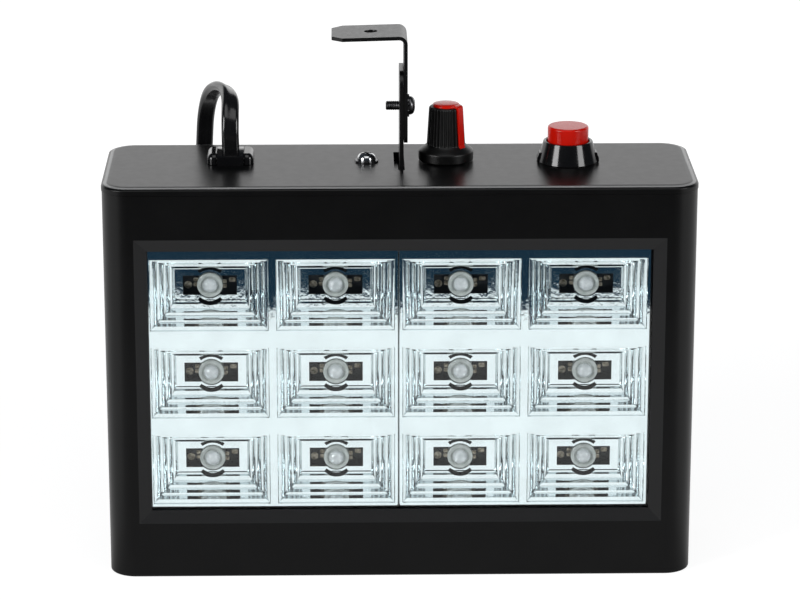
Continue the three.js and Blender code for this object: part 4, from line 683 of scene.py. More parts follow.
def cord_section():
    """Flat two-core cord: rounded edges and a slight valley between the cores on both faces."""
    outline = rounded(CORD_W, CORD_T, CORD_ROUND, 5)
    outline += [(x, side * CORD_T / 2) for x in VALLEY_X for side in (1, -1)]
    sunk = []
    for x, y in outline:
        share = 1 - smooth(abs(x) / (CORD_W / 2 * VALLEY_SHARE))
        sunk.append((x, y - copysign(CORD_VALLEY * share, y)))
    return sorted(sunk, key=lambda p: atan2(p[1], p[0]))


def make_cord(finish):
    points, ways, wide = cord_line()
    section = cord_section()
    rings = [
        [point + side * x + way.cross(side) * y for x, y in section]
        for point, way, side in zip(points, ways, wide)
    ]
    made = piece("mains_cord", skin(rings), finish, "cord", replaces=("cord_lead", "cord_coil", "cord_tail"))
    return made, points


# ---- lamps, world and floor
def area_lamp(name, side_deg, rise_deg, far, size, radiance):
    """Lamp that faces the middle of the object, that far to the side and that high from straight in front."""
    side, rise = radians(side_deg), radians(rise_deg)
    width, height = size
    data = bpy.data.lights.new(name, "AREA")
    data.shape = "RECTANGLE"
    data.size, data.size_y = width, height
    data.energy = radiance * pi * width * height
    away = Vector((far * sin(side) * cos(rise), -far * cos(side) * cos(rise), far * sin(rise)))
    lamp = added(name, data)
    lamp.location = Vector(MIDDLE) + away
    lamp.rotation_euler = (-away).to_track_quat("-Z", "Y").to_euler()


# Lamps, in metres and seen from the middle of the object
MIDDLE = (0, 0, 0.1)
SOFTBOX_SIDE_DEG = 53.5
SOFTBOX_RISE_DEG = 19
SOFTBOX_FAR = 1.25
SOFTBOX_SIZE = (0.5, 0.62)
SOFTBOX_RADIANCE = {-1: 9.6, 1: 6.8}
TOP_RISE_DEG = 65
TOP_FAR = 1.3
TOP_SIZE = (1.0, 1.0)
TOP_RADIANCE = 1.3

WHITE = (1, 1, 1, 1)
ROOM_COLOR = (0.035, 0.042, 0.05, 1)
BACKDROP_COLOR = (1.27, 1.27, 1.27, 1)
BACKDROP_FRONT = (0.35, 0.7)
BACKDROP_TOP = (0.50, 0.36)

FLOOR_HALF = 6.0
FLOOR_FRONT_EDGE = (-0.295, -0.289)
FLOOR_SIDE_EDGE = (0.237, 0.243)
FLOOR_LIT = (0.3, 0.3, 0.3, 1)
FLOOR_BOUNCE = (0.8, 0.8, 0.8, 1)
FLOOR_GLOW = (0.86, 1.0)
FLOOR_GLOW_AT = (0.2, 0.45)
FLOOR_MIRRORED = (1.27, 1.27, 1.26, 1)
FLOOR_MIRRORED_FAR = (0.012, 0.035, 0.06, 1)
FLOOR_SHEEN = (0.08, 0.4)
PATCH_SLOPE = 0.84
PATCH_SHEEN = 0.4
PATCH_AT = (0.063, 0.103)


def make_lamps():
    for name, side in (("left_softbox", -1), ("right_softbox", 1)):
        area_lamp(name, side * SOFTBOX_SIDE_DEG, SOFTBOX_RISE_DEG, SOFTBOX_FAR, SOFTBOX_SIZE, SOFTBOX_RADIANCE[side])
    area_lamp("top_softbox", 0, TOP_RISE_DEG, TOP_FAR, TOP_SIZE, TOP_RADIANCE)


def make_world():
    """White to the camera. Round the object it is a low white backdrop behind and a dim room elsewhere."""
    world = bpy.data.worlds.new("studio")
    bpy.context.scene.world = world
    world.use_nodes = True
    world.node_tree.nodes.clear()
    made = Graph(world.node_tree)
    way = made.split(made.place("Generated"))
    behind = made.ranged(way["Y"], 0, 1, *BACKDROP_FRONT, "SMOOTHSTEP")
    low = made.ranged(way["Z"], 0, 1, *BACKDROP_TOP, "SMOOTHSTEP")
    room = made.blend(made.calc("MULTIPLY", behind, low), ROOM_COLOR, BACKDROP_COLOR)
    color = made.blend(made.path()["Is Camera Ray"], room, WHITE)
    made.node("OutputWorld", Surface=made.fed("Background", color))


def floor_paper():
    """White paper. To the camera its unshadowed part is plain white. The mirrors behind the window see it white
    near the object and dark beyond its front edge, and glossy surfaces see it dim, with brighter patches at both
    sides."""
    made = Finish("floor_paper", (0.8, 0.8, 0.8), 0.9)
    made.tree.nodes.remove(made.shader)
    where = made.split(made.place())
    wide = made.calc("ABSOLUTE", where["X"])
    glow = made.fed("Emission", WHITE, made.ranged(where["Y"], *FLOOR_GLOW, *FLOOR_GLOW_AT))
    seen = made.fed("AddShader", made.fed("BsdfDiffuse", FLOOR_LIT), glow)
    paper = made.calc("MULTIPLY", made.ranged(where["Y"], 0, 1, *FLOOR_FRONT_EDGE),
                      made.ranged(wide, 1, 0, *FLOOR_SIDE_EDGE))
    mirrored = made.fed("Emission", made.blend(paper, FLOOR_MIRRORED_FAR, FLOOR_MIRRORED))
    aside = made.calc("MULTIPLY_ADD", where["Y"], PATCH_SLOPE, wide)
    dim = made.ranged(where["Y"], *FLOOR_SHEEN, *FLOOR_FRONT_EDGE)
    patches = made.ranged(aside, 0, PATCH_SHEEN, *PATCH_AT)
    sheen = made.fed("Emission", WHITE, made.calc("ADD", dim, patches))
    path = made.path()
    reflected = made.fed("MixShader", path["Is Transmission Ray"], sheen, mirrored)
    glossy = made.calc("MAXIMUM", path["Is Glossy Ray"], path["Is Transmission Ray"])
    unseen = made.fed("MixShader", glossy, made.fed("BsdfDiffuse", FLOOR_BOUNCE), reflected)
    return made.show(made.fed("MixShader", path["Is Camera Ray"], unseen, seen))


def make_floor():
    mesh = bpy.data.meshes.new("floor")
    corners = [(x * FLOOR_HALF, y * FLOOR_HALF, 0) for x, y in ((-1, -1), (1, -1), (1, 1), (-1, 1))]
    mesh.from_pydata(corners, [], [(0, 1, 2, 3)])
    mesh.materials.append(floor_paper())
    added("floor", mesh)


# ---- housing
PANE_MARGIN = 2.2
BEVEL_W = 3.8
BEVEL_D = 1.3
PAST = 2.0
COVER_R = 2.7
SCREW_CORE_D = 2.8
LID_CHAMFER = 0.03
LID_PLAY = 0.15
LIP_L = 2.5
LIP_T = 1.5
RELIEF_HOLE = (10.4, 8.2, 2.3)
STRIP_SLOT_X = (-1.5, 1.6)
STRIP_SLOT_HALF = 10.65
POT_HOLE_D = 7.6
BUTTON_HOLE_D = 12.2
VENT = (2.2, 24, 1.1)
VENT_GROUP_X = 42
VENT_PITCH = 5
VENT_Z = 92
VENTS = 6
POST_INSET = 5
# Diameter, length and facets of each post that carries the driver board, and of its pin
POST_RODS = ((6, 6.4, 24), (2.4, 9.1, 20))


def shell_window():
    """The window's opening, with a bevel round it at the front."""
    low, high = node_box("window_pane")
    width, height = high.x - low.x - 2 * PANE_MARGIN, high.z - low.z - 2 * PANE_MARGIN
    grow = 2 * (BEVEL_W + BEVEL_W / BEVEL_D * PAST)
    form = skin([
        at(rectangle(width, height), -PAST),
        at(rectangle(width, height), WALL - BEVEL_D),
        at(rectangle(width + grow, height + grow), WALL + PAST),
    ])
    return moved(to_front(form), 0, -SHELL_D / 2 + WALL, (low.z + high.z) / 2)


def shell_pads():
    """Pads for the rear screws, which end in the rounded corners, and their bores."""
    pads, bores = [], []
    corner_x, corner_y, reach = SHELL_W / 2 - CORNER_R, SHELL_D / 2 - CORNER_R, CORNER_R - WALL / 2
    back = SHELL_D / 2 - WALL - SEAM
    turn = degrees(asin((back - corner_y) / reach))
    for index in range(4):
        screw = node_middle(f"rear_screw_{index + 1}")
        inner = abs(screw.x) - SCREW_PAD_HALF
        outline = [(inner, back - SCREW_PAD_L), (corner_x + reach, back - SCREW_PAD_L),
                   *arc(corner_x, corner_y, reach, 0, turn, 8), (inner, back)]
        outline = [(copysign(x, screw.x), y) for x, y in outline]
        pads.append(prism(outline, screw.z - SCREW_PAD_HALF, screw.z + SCREW_PAD_HALF))
        bores.append(moved(to_rear(rod(SCREW_CORE_D, 1 - SCREW_PAD_L, 4)), screw.x, SHELL_D / 2 - WALL, screw.z))
    return pads, bores


def make_shell(finish):
    size = (SHELL_W, SHELL_D, CORNER_R)
    rings = [plate_ring(*size, inset, z)
             for inset, z in reversed(rounding(UNDERSIDE_EDGE, UNDERSIDE_EDGE, 8))]
    rings.append(plate_ring(*size, 0, SHELL_TOP))
    inside = skin([plate_ring(*size, WALL, z) for z in (WALL, SHELL_TOP + PAST)])
    low, high = node_box("rear_cover")
    rear = rounded(high.x - low.x + 2 * FIT_GAP, high.z - low.z + 2 * FIT_GAP, COVER_R + FIT_GAP)
    rear = moved(to_rear(prism(rear, -SEAM / 2, WALL + PAST)), 0, SHELL_D / 2 - WALL, (low.z + high.z) / 2)
    pads, bores = shell_pads()
    made = raw_object("shell", skin(rings))
    combine(made, [inside], "DIFFERENCE")
    combine(made, pads, "UNION")
    combine(made, [shell_window(), rear, *bores], "DIFFERENCE")
    dress(made, finish, "housing", replaces=("front_shell",), angle=17)


def make_lid(finish):
    size = (BOX_W, BOX_D, CORNER_R)
    low, high = LID_TOP - LID_T, LID_TOP + PAST
    rings = [at(rounded(BOX_W - 2 * LID_CHAMFER, BOX_D - 2 * LID_CHAMFER, CORNER_R), low),
             plate_ring(*size, 0, low + LID_CHAMFER)]
    rings += [plate_ring(*size, inset, LID_TOP - down) for inset, down in rounding(LID_EDGE_IN, LID_EDGE_DOWN, 10)]
    lip_inset = LID_PLAY + WALL + FIT_GAP
    lip_low = low - LIP_L
    lip = skin([plate_ring(*size, lip_inset, z) for z in (lip_low, low + 1)])
    below = lip_low - PAST
    foot = node_middle("foot_screw")
    cuts = [
        skin([plate_ring(*size, lip_inset + LIP_T, z) for z in (below, low)]),
        moved(prism(rounded(*RELIEF_HOLE, 6), below, high), *RELIEF),
        block(*STRIP_SLOT_X, BRACKET_Y - STRIP_SLOT_HALF, BRACKET_Y + STRIP_SLOT_HALF, below, high),
        moved(rod(SCREW_HOLE_D, below, high), foot.x, foot.y),
        moved(rod(POT_HOLE_D, below, high, 48), *KNOB),
        moved(rod(BUTTON_HOLE_D, below, high, 48), *BUTTON),
    ]
    piece("lid", skin(rings), finish, "housing", replaces=("top_plate",), add=[lip], cut=cuts, angle=30)


def make_rear_cover(finish):
    low, high = node_box("rear_cover")
    inside = SHELL_D / 2 - WALL
    plate = prism(rounded(high.x - low.x, high.z - low.z, COVER_R), 0, WALL)
    holes = []
    for index in range(4):
        screw = node_middle(f"rear_screw_{index + 1}")
        holes.append(moved(to_rear(rod(SCREW_HOLE_D, -PAST, WALL + PAST)), screw.x, inside, screw.z))
    vent = to_rear(prism(rounded(*VENT, 6), -PAST, WALL + PAST))
    for group_x in (-VENT_GROUP_X, VENT_GROUP_X):
        for index in range(VENTS):
            holes.append(moved(vent, group_x + (index - (VENTS - 1) / 2) * VENT_PITCH, inside, VENT_Z))
    board_low, board_high = node_box("driver_board")
    posts = [moved(to_front(rod(diameter, -1, length, facets)), x, inside, z)
             for x in (board_low.x + POST_INSET, board_high.x - POST_INSET)
             for z in (board_low.z + POST_INSET, board_high.z - POST_INSET)
             for diameter, length, facets in POST_RODS]
    piece("back_cover", moved(to_rear(plate), 0, inside, (low.z + high.z) / 2), finish, "housing",
          replaces=("rear_cover",), add=posts, cut=holes, edge=0.25, angle=30)


# ---- reflectors and emitters
CELL_PITCH_X = 37.2
CELL_PITCH_Z = 27.1
CELL_W = 35.0
CELL_H = 21.9
CELL_FLOOR_T = 0.8
CELL_LIP = (0.25, 0.6, 0.25, 0.25)
# Each step from the mouth inwards: across, deep, bottom tread, bottom riser's lean, top tread, top riser's lean
CELL_STEPS = (
    (1.95, 2.29, 1.07, 15, 0.3, 20),
    (1.9, 2.54, 0.6, 15, 0.3, 27),
    (1.65, 2.24, 0.92, 18.5, 0.25, 20),
    (1.05, 0.89, 1.2, 25, 0.15, 45),
    (0.3, 0.5, 0.44, 5, 0.2, 5),
)
CELL_DEPTH = CELL_LIP[1] + sum(step[1] for step in CELL_STEPS)
CELL_FLOOR_W = CELL_W - 2 * (CELL_LIP[0] + sum(step[0] for step in CELL_STEPS))
LAMP_RAISE = 0.55
TREAD_LEAN_DEG = 5.5
PILLOW_POINTS = 8
PILLOW_BULGE = 0.6
LAMP_HOLE_D = 8.2
LAMP_SLOT = (16.0, 6.0)
CRESCENT_R = (4.75, 5.8)
CRESCENT_HALF_DEG = 39
CRESCENT_RISE = 2.6
REFLECTOR_EDGE = 0.35


def pillow():
    """Shares of inset and of depth along one bulging flute."""
    made = []
    for i in range(PILLOW_POINTS + 1):
        u = i / PILLOW_POINTS
        made.append((u + PILLOW_BULGE * (sin(u * pi / 2) - u),
                     u + PILLOW_BULGE * (1 - cos(u * pi / 2) - u)))
    return made


def stair(deep, tread, lean_deg, tread_lean_deg=0):
    """One step of an upper or lower wall: its whole inset, and its tread and riser as shares of that inset and of
    its depth."""
    rise = deep * tan(radians(lean_deg))
    inset = tread + rise
    return inset, [(0, 0), (tread / inset, tread * tan(radians(tread_lean_deg)) / deep), (1, 1)]


def cell_walls():
    """Each part of the wall from the mouth inwards: where it starts and ends as (across, bottom, top, deep), and
    its paths on the bottom, top and side walls."""
    straight = [(0, 0), (1, 1)]
    across, deep, bottom, top = CELL_LIP
    start, end = Vector((0, 0, 0, 0)), Vector((across, bottom, top, deep))
    parts = [(start, end, straight, straight, straight)]
    for across, deep, bottom_tread, bottom_lean, top_tread, top_lean in CELL_STEPS:
        bottom, bottom_path = stair(deep, bottom_tread, bottom_lean)
        top, top_path = stair(deep, top_tread, top_lean, TREAD_LEAN_DEG)
        start, end = end, end + Vector((across, bottom, top, deep))
        parts.append((start, end, bottom_path, top_path, pillow()))
    return parts


def cell_tile(left, right, low, high):
    """One cell as a closed block round its stepped cavity, with the mouth's middle at the origin and the
    front at zero depth. Left to high are the block's own edges."""
    index, points, faces = {}, [], []

    def corner(x, y, z):
        key = (round(x, 5), round(y, 5), round(z, 5))
        if key not in index:
            index[key] = len(points)
            points.append(Vector((x, y, z)))
        return index[key]

    def loop(x0, x1, z0, z1, y):
        return [corner(x, y, z) for x, z in ((x0, z0), (x1, z0), (x1, z1), (x0, z1))]

    def wall_point(start, end, share, sx, sz):
        now = start + (end - start) * share[0]
        deep = start.w + (end.w - start.w) * share[1]
        z = CELL_H / 2 - now.z if sz > 0 else -CELL_H / 2 + now.y
        return corner(sx * (CELL_W / 2 - now.x), deep, z)

    def wall_faces(start, end, path, first, second):
        for p, q in zip(path, path[1:]):
            faces.append((wall_point(start, end, p, *first), wall_point(start, end, p, *second),
                          wall_point(start, end, q, *second), wall_point(start, end, q, *first)))

    parts = cell_walls()
    for start, end, bottom, top, side in parts:
        for path, sz in ((top, 1), (bottom, -1)):
            wall_faces(start, end, path, (-1, sz), (1, sz))
            ring = [*path, *side[-2:0:-1]]
            if len(ring) > 2:
                faces += [tuple(wall_point(start, end, p, sx, sz) for p in ring) for sx in (-1, 1)]
        for sx in (-1, 1):
            wall_faces(start, end, side, (sx, -1), (sx, 1))
    last, back = parts[-1][1], CELL_DEPTH + CELL_FLOOR_T
    floor = loop(-CELL_FLOOR_W / 2, CELL_FLOOR_W / 2, last.y - CELL_H / 2, CELL_H / 2 - last.z, CELL_DEPTH)
    mouth = loop(-CELL_W / 2, CELL_W / 2, -CELL_H / 2, CELL_H / 2, 0)
    rim, rear = (loop(left, right, low, high, y) for y in (0, back))
    for near, far in ((mouth, rim), (rim, rear)):
        for i, k in ((0, 1), (1, 2), (2, 3), (3, 0)):
            faces.append((near[i], near[k], far[k], far[i]))
    return points, [*faces, tuple(floor), tuple(rear)]


def reflector_rooms():
    """What is cut from a cell's floor: a slot for the legs, a hole for the emitter and two arcs round it."""
    back = -CELL_DEPTH - CELL_FLOOR_T - PAST
    inner, outer = CRESCENT_R
    rooms = [rod(LAMP_HOLE_D, back, -CELL_DEPTH + 1, 64), prism(rectangle(*LAMP_SLOT), back, -CELL_DEPTH + 1)]
    for middle in (90, -90):
        ends = (middle - CRESCENT_HALF_DEG, middle + CRESCENT_HALF_DEG)
        outline = [*arc(0, 0, outer, *ends, 14), *arc(0, 0, inner, *reversed(ends), 14)]
        rooms.append(prism(outline, back, -CELL_DEPTH + CRESCENT_RISE))
    return [moved(to_front(room), 0, 0, LAMP_RAISE) for room in rooms]


def on_plane(part, axis, value):
    return all(abs(v.co[axis] / MM - value) < 1e-3 for v in part.verts)


def make_reflector(name, node, finish):
    low, high = node_box(node)
    middle = (low + high) / 2
    rooms = reflector_rooms()
    work = bmesh.new()
    for sx in (-1, 1):
        for sz in (1, 0, -1):
            cell_x, cell_z = middle.x + sx * CELL_PITCH_X / 2, middle.z + sz * CELL_PITCH_Z
            left = -CELL_PITCH_X / 2 if sx > 0 else low.x - cell_x
            right = CELL_PITCH_X / 2 if sx < 0 else high.x - cell_x
            bottom = -CELL_PITCH_Z / 2 if sz >= 0 else low.z - cell_z
            top = CELL_PITCH_Z / 2 if sz <= 0 else high.z - cell_z
            tile = raw_object("tile", cell_tile(left, right, bottom, top))
            combine(tile, rooms, "DIFFERENCE")
            tile.data.transform(Matrix.Translation(Vector((cell_x, low.y, cell_z)) * MM))
            work.from_mesh(tile.data)
            discard(tile)
    doomed = [f for f in work.faces if on_plane(f, 0, middle.x)
              or any(on_plane(f, 2, middle.z + side * CELL_PITCH_Z / 2) for side in (-1, 1))]
    bmesh.ops.delete(work, geom=doomed, context="FACES")
    bmesh.ops.remove_doubles(work, verts=work.verts, dist=1e-6)
    outer = [e for e in work.edges if on_plane(e, 1, low.y)
             and any(on_plane(e, axis, corner[axis]) for axis in (0, 2) for corner in (low, high))]
    bmesh.ops.bevel(work, geom=outer, offset=REFLECTOR_EDGE * MM, segments=4, affect="EDGES", profile=0.5)
    mesh = bpy.data.meshes.new(name)
    work.to_mesh(mesh)
    work.free()
    dress(added(name, mesh), finish, "reflector", replaces=(node,), angle=20)


EMITTERS = 12
EMITTER_PROFILE = (
    (0, 0), (3.85, 0), (3.85, 3.8), (3.78, 4.1), (3.6, 4.26), (3.4, 4.3), (2.9, 4.3), (2.7, 4.2), (2.5, 3.9),
    (0, 3.9),
)
LENS_R = 2.2
LENS_RISE = 1.9
LENS_SEAT = 3.92
LENS_TOP = 6.0
# Where each contact of an emitter lies, across and up: legs, round pad and square pad
LEG_PLACES = ((-4.25, 1.15), (-4.25, -0.3), (4.25, 0.6), (4.25, -0.85))
LEG = (1.3, 1.1, 0.3)
LEG_SPAN = (1.6, 2.1)
ROUND_PAD_D = 2.3
ROUND_PAD_AT = (-6.6, -1.0)
SQUARE_PAD = (1.9, 1.3, 0.4)
SQUARE_PAD_AT = (6.5, 0.55)
PAD_SPAN = (0.01, 0.14)


def make_emitters(resin, dome_finish, gold):
    angles = [radians(d) for d in range(0, 90, 9)]
    dome = [(LENS_R * cos(a), LENS_TOP - LENS_RISE * (1 - sin(a))) for a in angles]
    body = turned(EMITTER_PROFILE)
    lens = turned([(0, LENS_SEAT), (LENS_R, LENS_SEAT), *dome, (0, LENS_TOP)])
    legs = [moved(prism(rounded(*LEG, 4), *LEG_SPAN), *where) for where in LEG_PLACES]
    pads = [moved(rod(ROUND_PAD_D, *PAD_SPAN), *ROUND_PAD_AT),
            moved(prism(rounded(*SQUARE_PAD, 4), *PAD_SPAN), *SQUARE_PAD_AT)]
    contacts = joined([*legs, *pads])
    for index in range(EMITTERS):
        name = f"led_emitter_{index + 1}"
        middle = node_middle(name)
        where = (middle.x, node_box(name)[1].y, middle.z + LAMP_RAISE)
        for part, form, finish, replaces in (("body", body, resin, (name,)), ("lens", lens, dome_finish, ()),
                                             ("contacts", contacts, gold, ())):
            piece(f"emitter_{part}_{index + 1}", moved(to_front(form), *where), finish, "led_body",
                  replaces=replaces)


# ---- knob and button
KNOB_LIFT = 0.4
KNOB_TURN_DEG = -38
KNOB_FLUTES = 28
FLUTE_POINTS = 8
FLUTE_DEPTH = 0.3
FLUTE_POWER = 0.7
# Radius, height and share of the flutes' depth
KNOB_PROFILE = (
    (7.95, 0, 0), (8.12, 0.06, 0), (8.2, 0.25, 0), (8.2, 2.3, 0), (8.16, 2.6, 0), (8.03, 2.85, 0), (7.8, 3.05, 0),
    (7.35, 3.4, 0), (6.85, 3.75, 0), (6.42, 4.05, 0), (6.1, 4.3, 0), (5.9, 4.5, 0), (5.78, 4.7, 0.3),
    (5.74, 4.9, 1), (5.1, 15.5, 1), (5.02, 15.85, 0.9), (4.82, 16.1, 0.6), (4.5, 16.2, 0.2),
    (4.2, 16.22, 0),
)
KNOB_NUT_ROOM_D = 12.6
KNOB_NUT_ROOM_H = 3.0
SHAFT_BORE_D = 6.6
SHAFT_BORE_H = 13.5
CAP_PROFILE = (
    (0, 15.6), (4.05, 15.6), (4.07, 16.5), (4.0, 16.75), (3.8, 16.93), (3.5, 17.02), (2.4, 17.13), (1.2, 17.18),
    (0, 17.2),
)
POINTER_W = 2.3
# Radius and height of each section's outer and inner edge
POINTER_PATH = (
    (2.6, 16.9, 2.5, 16.0), (4.35, 16.92, 4.2, 16.0), (4.95, 16.78, 4.35, 15.8), (5.3, 16.4, 4.5, 15.4),
    (5.44, 15.6, 4.6, 15.0), (6.02, 5.2, 5.1, 5.2), (6.12, 4.6, 5.2, 4.6), (6.35, 4.0, 5.3, 4.0),
)
BEZEL_PROFILE = (
    (2.4, -9), (5.8, -9), (5.8, 0), (8.7, 0), (8.88, 0.08), (8.94, 0.3), (7.42, 6.0), (7.32, 6.26), (6.98, 6.38),
    (6.75, 6.38), (6.53, 6.25), (6.45, 6.0), (6.45, 1.4), (2.4, 1.4),
)
LUG_OUTLINE = ((7.4, 0), (9.1, 0), (9.27, 0.35), (9.22, 1.2), (8.55, 2.9), (7.8, 3.1))
LUG_W = 3.4
BUTTON_PROFILE = (
    (0, -4.8), (2, -4.8), (2, 8.2), (4.7, 8.2), (4.7, 4.2), (6.1, 4.2), (6.1, 10.2), (6.06, 10.46), (5.92, 10.68),
    (5.7, 10.81), (5.4, 10.85), (0, 10.85),
)


def fluted(radius, depth, z):
    """Ring with narrow grooves, that deep."""
    count = KNOB_FLUTES * FLUTE_POINTS
    ring = []
    for i in range(count):
        angle = 2 * pi * i / count
        groove = 1 - sin((i % FLUTE_POINTS) / FLUTE_POINTS * pi) ** FLUTE_POWER
        r = radius - depth * groove
        ring.append((r * cos(angle), r * sin(angle), z))
    return ring


def make_knob(black_finish, red_finish):
    place = {"where": (*KNOB, LID_TOP + KNOB_LIFT), "body": "knob"}
    body = skin([fluted(radius, FLUTE_DEPTH * share, z) for radius, z, share in KNOB_PROFILE])
    rooms = [rod(KNOB_NUT_ROOM_D, -1, KNOB_NUT_ROOM_H, 48), rod(SHAFT_BORE_D, -1, SHAFT_BORE_H)]
    piece("knob_grip", body, black_finish, "knob_black", replaces=("speed_knob",), cut=rooms, angle=28, **place)
    half = POINTER_W / 2
    bar = skin([[(r0, -half, z0), (r1, -half, z1), (r1, half, z1), (r0, half, z0)]
                for r1, z1, r0, z0 in POINTER_PATH])
    piece("knob_mark", spun(bar, KNOB_TURN_DEG), red_finish, "red_plastic", replaces=("knob_pointer",),
          add=[turned(CAP_PROFILE, 72)], edge=0.12, edge_angle=50, angle=30, **place)


def make_button(gloss_finish, red_finish):
    where = (*BUTTON, LID_TOP)
    lug = to_front(prism(LUG_OUTLINE, -LUG_W / 2, LUG_W / 2))
    piece("button_bezel", turned(BEZEL_PROFILE, 96), gloss_finish, "gloss_black", where=where,
          replaces=("button_housing",), add=[lug, spun(lug, 180)], angle=28)
    piece("button_top", turned(BUTTON_PROFILE, 96), red_finish, "red_plastic", where=where, body="button",
          replaces=("button_cap",))


SPRING_WIRE = 0.6
SPRING_CURLS = 4
SPRING_STEPS_A_CURL = 28


def make_spring(finish):
    """Helix under the button, as tall as the frame's spring."""
    low, high = node_box("button_spring")
    radius, height = (high.x - low.x - SPRING_WIRE) / 2, high.z - low.z
    count = SPRING_CURLS * SPRING_STEPS_A_CURL
    rings = []
    for i in range(count + 1):
        angle = 2 * pi * i / SPRING_STEPS_A_CURL
        out = Vector((cos(angle), sin(angle), 0))
        z = SPRING_WIRE / 2 + (height - SPRING_WIRE) * i / count
        rings.append([out * (radius + x) + Vector((0, 0, y + z)) for x, y in circle(SPRING_WIRE, 10)])
    foot = Vector((*BUTTON, low.z))
    made = piece("return_spring", skin(rings), finish, "spring_steel", where=foot, replaces=("button_spring",),
                 angle=60)
    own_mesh(made)


# ---- strain relief
RELIEF_W = 13.9
RELIEF_CHEEK = (4.1, 11.2, 2.0)
RELIEF_CHEEK_TOP_R = 1.9
RELIEF_H = 3.4
RELIEF_MIDDLE = (7.8, 12.1)
RELIEF_MIDDLE_FRONT_H = 2.9
RELIEF_MIDDLE_H = 3.75
RELIEF_NECK = (9.8, 7.6, 2.0)
RELIEF_TAIL_L = 9.0
RELIEF_BARB = 0.95
RELIEF_FOOT = 0.15
RELIEF_EDGE = ((0, 0.45), (0.14, 0.13), (0.45, 0))
RELIEF_RIDGE_HALF = 1.6


def relief_cheek(side):
    width, depth, radius = RELIEF_CHEEK
    rings = [plate_ring(width, depth, radius, inset, z) for inset, z in ((RELIEF_FOOT, 0), (0, RELIEF_FOOT))]
    rings += [plate_ring(width, depth, radius, inset, RELIEF_H - down)
              for inset, down in rounding(RELIEF_CHEEK_TOP_R, RELIEF_CHEEK_TOP_R, 8)[:-1]]
    return moved(skin(rings), side * (RELIEF_W - width) / 2, 0, 0)


def relief_middle():
    """Block between the cheeks, whose top slopes down towards the front and the rear."""
    width, depth = RELIEF_MIDDLE
    half, low = depth / 2, RELIEF_MIDDLE_FRONT_H
    side = [(half, 0), *((half - inset, low - down) for inset, down in RELIEF_EDGE),
            (RELIEF_RIDGE_HALF, RELIEF_MIDDLE_H)]
    outline = [*side, *((-x, z) for x, z in reversed(side))]
    return spun(to_front(prism(outline, -width / 2, width / 2)), 90)


def make_relief(finish):
    low = -LID_T - RELIEF_TAIL_L
    width, depth, radius = RELIEF_NECK
    neck = prism(rounded(*RELIEF_NECK, 6), low, RELIEF_H / 2)
    barb = skin([at(rounded(width + grow, depth, radius, 6), z)
                 for grow, z in ((0, low + RELIEF_TAIL_L / 2 - SEAM), (2 * RELIEF_BARB, -LID_T - SEAM))])
    piece("cord_bushing", relief_middle(), finish, "gloss_black", where=(*RELIEF, LID_TOP),
          replaces=("strain_relief",), add=[relief_cheek(-1), relief_cheek(1), neck, barb], angle=32)


# ---- bracket, hanger and screws
STRIP_T = 1.2
STRIP_W = 18.0
STRIP_END_R = 4.5
STRIP_BEND_R = 0.5
STRIP_RAISE = 0.8
HANGER_T = 1.1
HANGER_W = 17.5
HANGER_BEND_R = 1.4
HANGER_END_CHAMFER = 3.2
HANGER_LOW_R = 2.5
HANGER_BEND_CLEAR = 0.6
HANGER_TIP = 0.01
HANGER_END_STEP = 0.2
HANGER_LOWER = 1.1
HANGER_DROOP_DEG = 1.5
HANGER_HOLE_D = 4.0
HANGER_HOLE_X = -8.3
SCREW_HOLE_D = 3.3
SCREW_D = 2.5
THREAD_D = 2.9
THREAD_PITCH = 0.55


def bent_plate(line, thickness, width_at):
    """A plate of that thickness along a line in the XZ plane, as wide as width_at says at each length."""
    rings, length = [], 0.0
    total = sum(dist(a, b) for a, b in zip(line, line[1:]))
    for i, (x, z) in enumerate(line):
        before, after = line[max(i - 1, 0)], line[min(i + 1, len(line) - 1)]
        length += dist(line[i], line[i - 1]) if i else 0
        way = Vector((after[0] - before[0], after[1] - before[1])).normalized()
        side = Vector((way.y, -way.x)) * thickness / 2
        half = width_at(length, total) / 2
        rings.append([(x + side.x, -half, z + side.y), (x + side.x, half, z + side.y),
                      (x - side.x, half, z - side.y), (x - side.x, -half, z - side.y)])
    return skin(rings)


def rounded_end(distance, radius):
    """How much narrower a plate is at that distance from an end with rounded corners."""
    short = max(radius - distance, 0)
    return 2 * (radius - sqrt(max(radius**2 - short**2, 0)))


def end_steps(radius):
    return [inset for inset, _ in rounding(radius, radius, 8)]


def make_strip(finish):
    low, high = node_box("bracket_strip")
    middle_x, top, foot_z = high.x - STRIP_T / 2, high.z + STRIP_RAISE, low.z + STRIP_T / 2
    bend = STRIP_BEND_R + STRIP_T / 2
    line = [(low.x, foot_z), (middle_x - bend - 0.5, foot_z),
            *arc(middle_x - bend, foot_z + bend, bend, -90, 0, 6),
            (middle_x, top - STRIP_END_R - 2), *((middle_x, top - d) for d in reversed(end_steps(STRIP_END_R)))]
    foot = node_middle("foot_screw")
    holes = [moved(to_right(rod(SCREW_HOLE_D, -PAST, 2 * PAST)), 0, 0, PIVOT_Z),
             moved(rod(SCREW_HOLE_D, low.z - PAST, low.z + 2 * PAST), foot.x, foot.y - BRACKET_Y)]
    plate = bent_plate(line, STRIP_T, lambda s, total: STRIP_W - rounded_end(total - s, STRIP_END_R))
    piece("strip_plate", plate, finish, "black_steel", where=(0, BRACKET_Y, 0), replaces=("bracket_strip",),
          cut=holes, edge=0.12, edge_angle=60, angle=40)


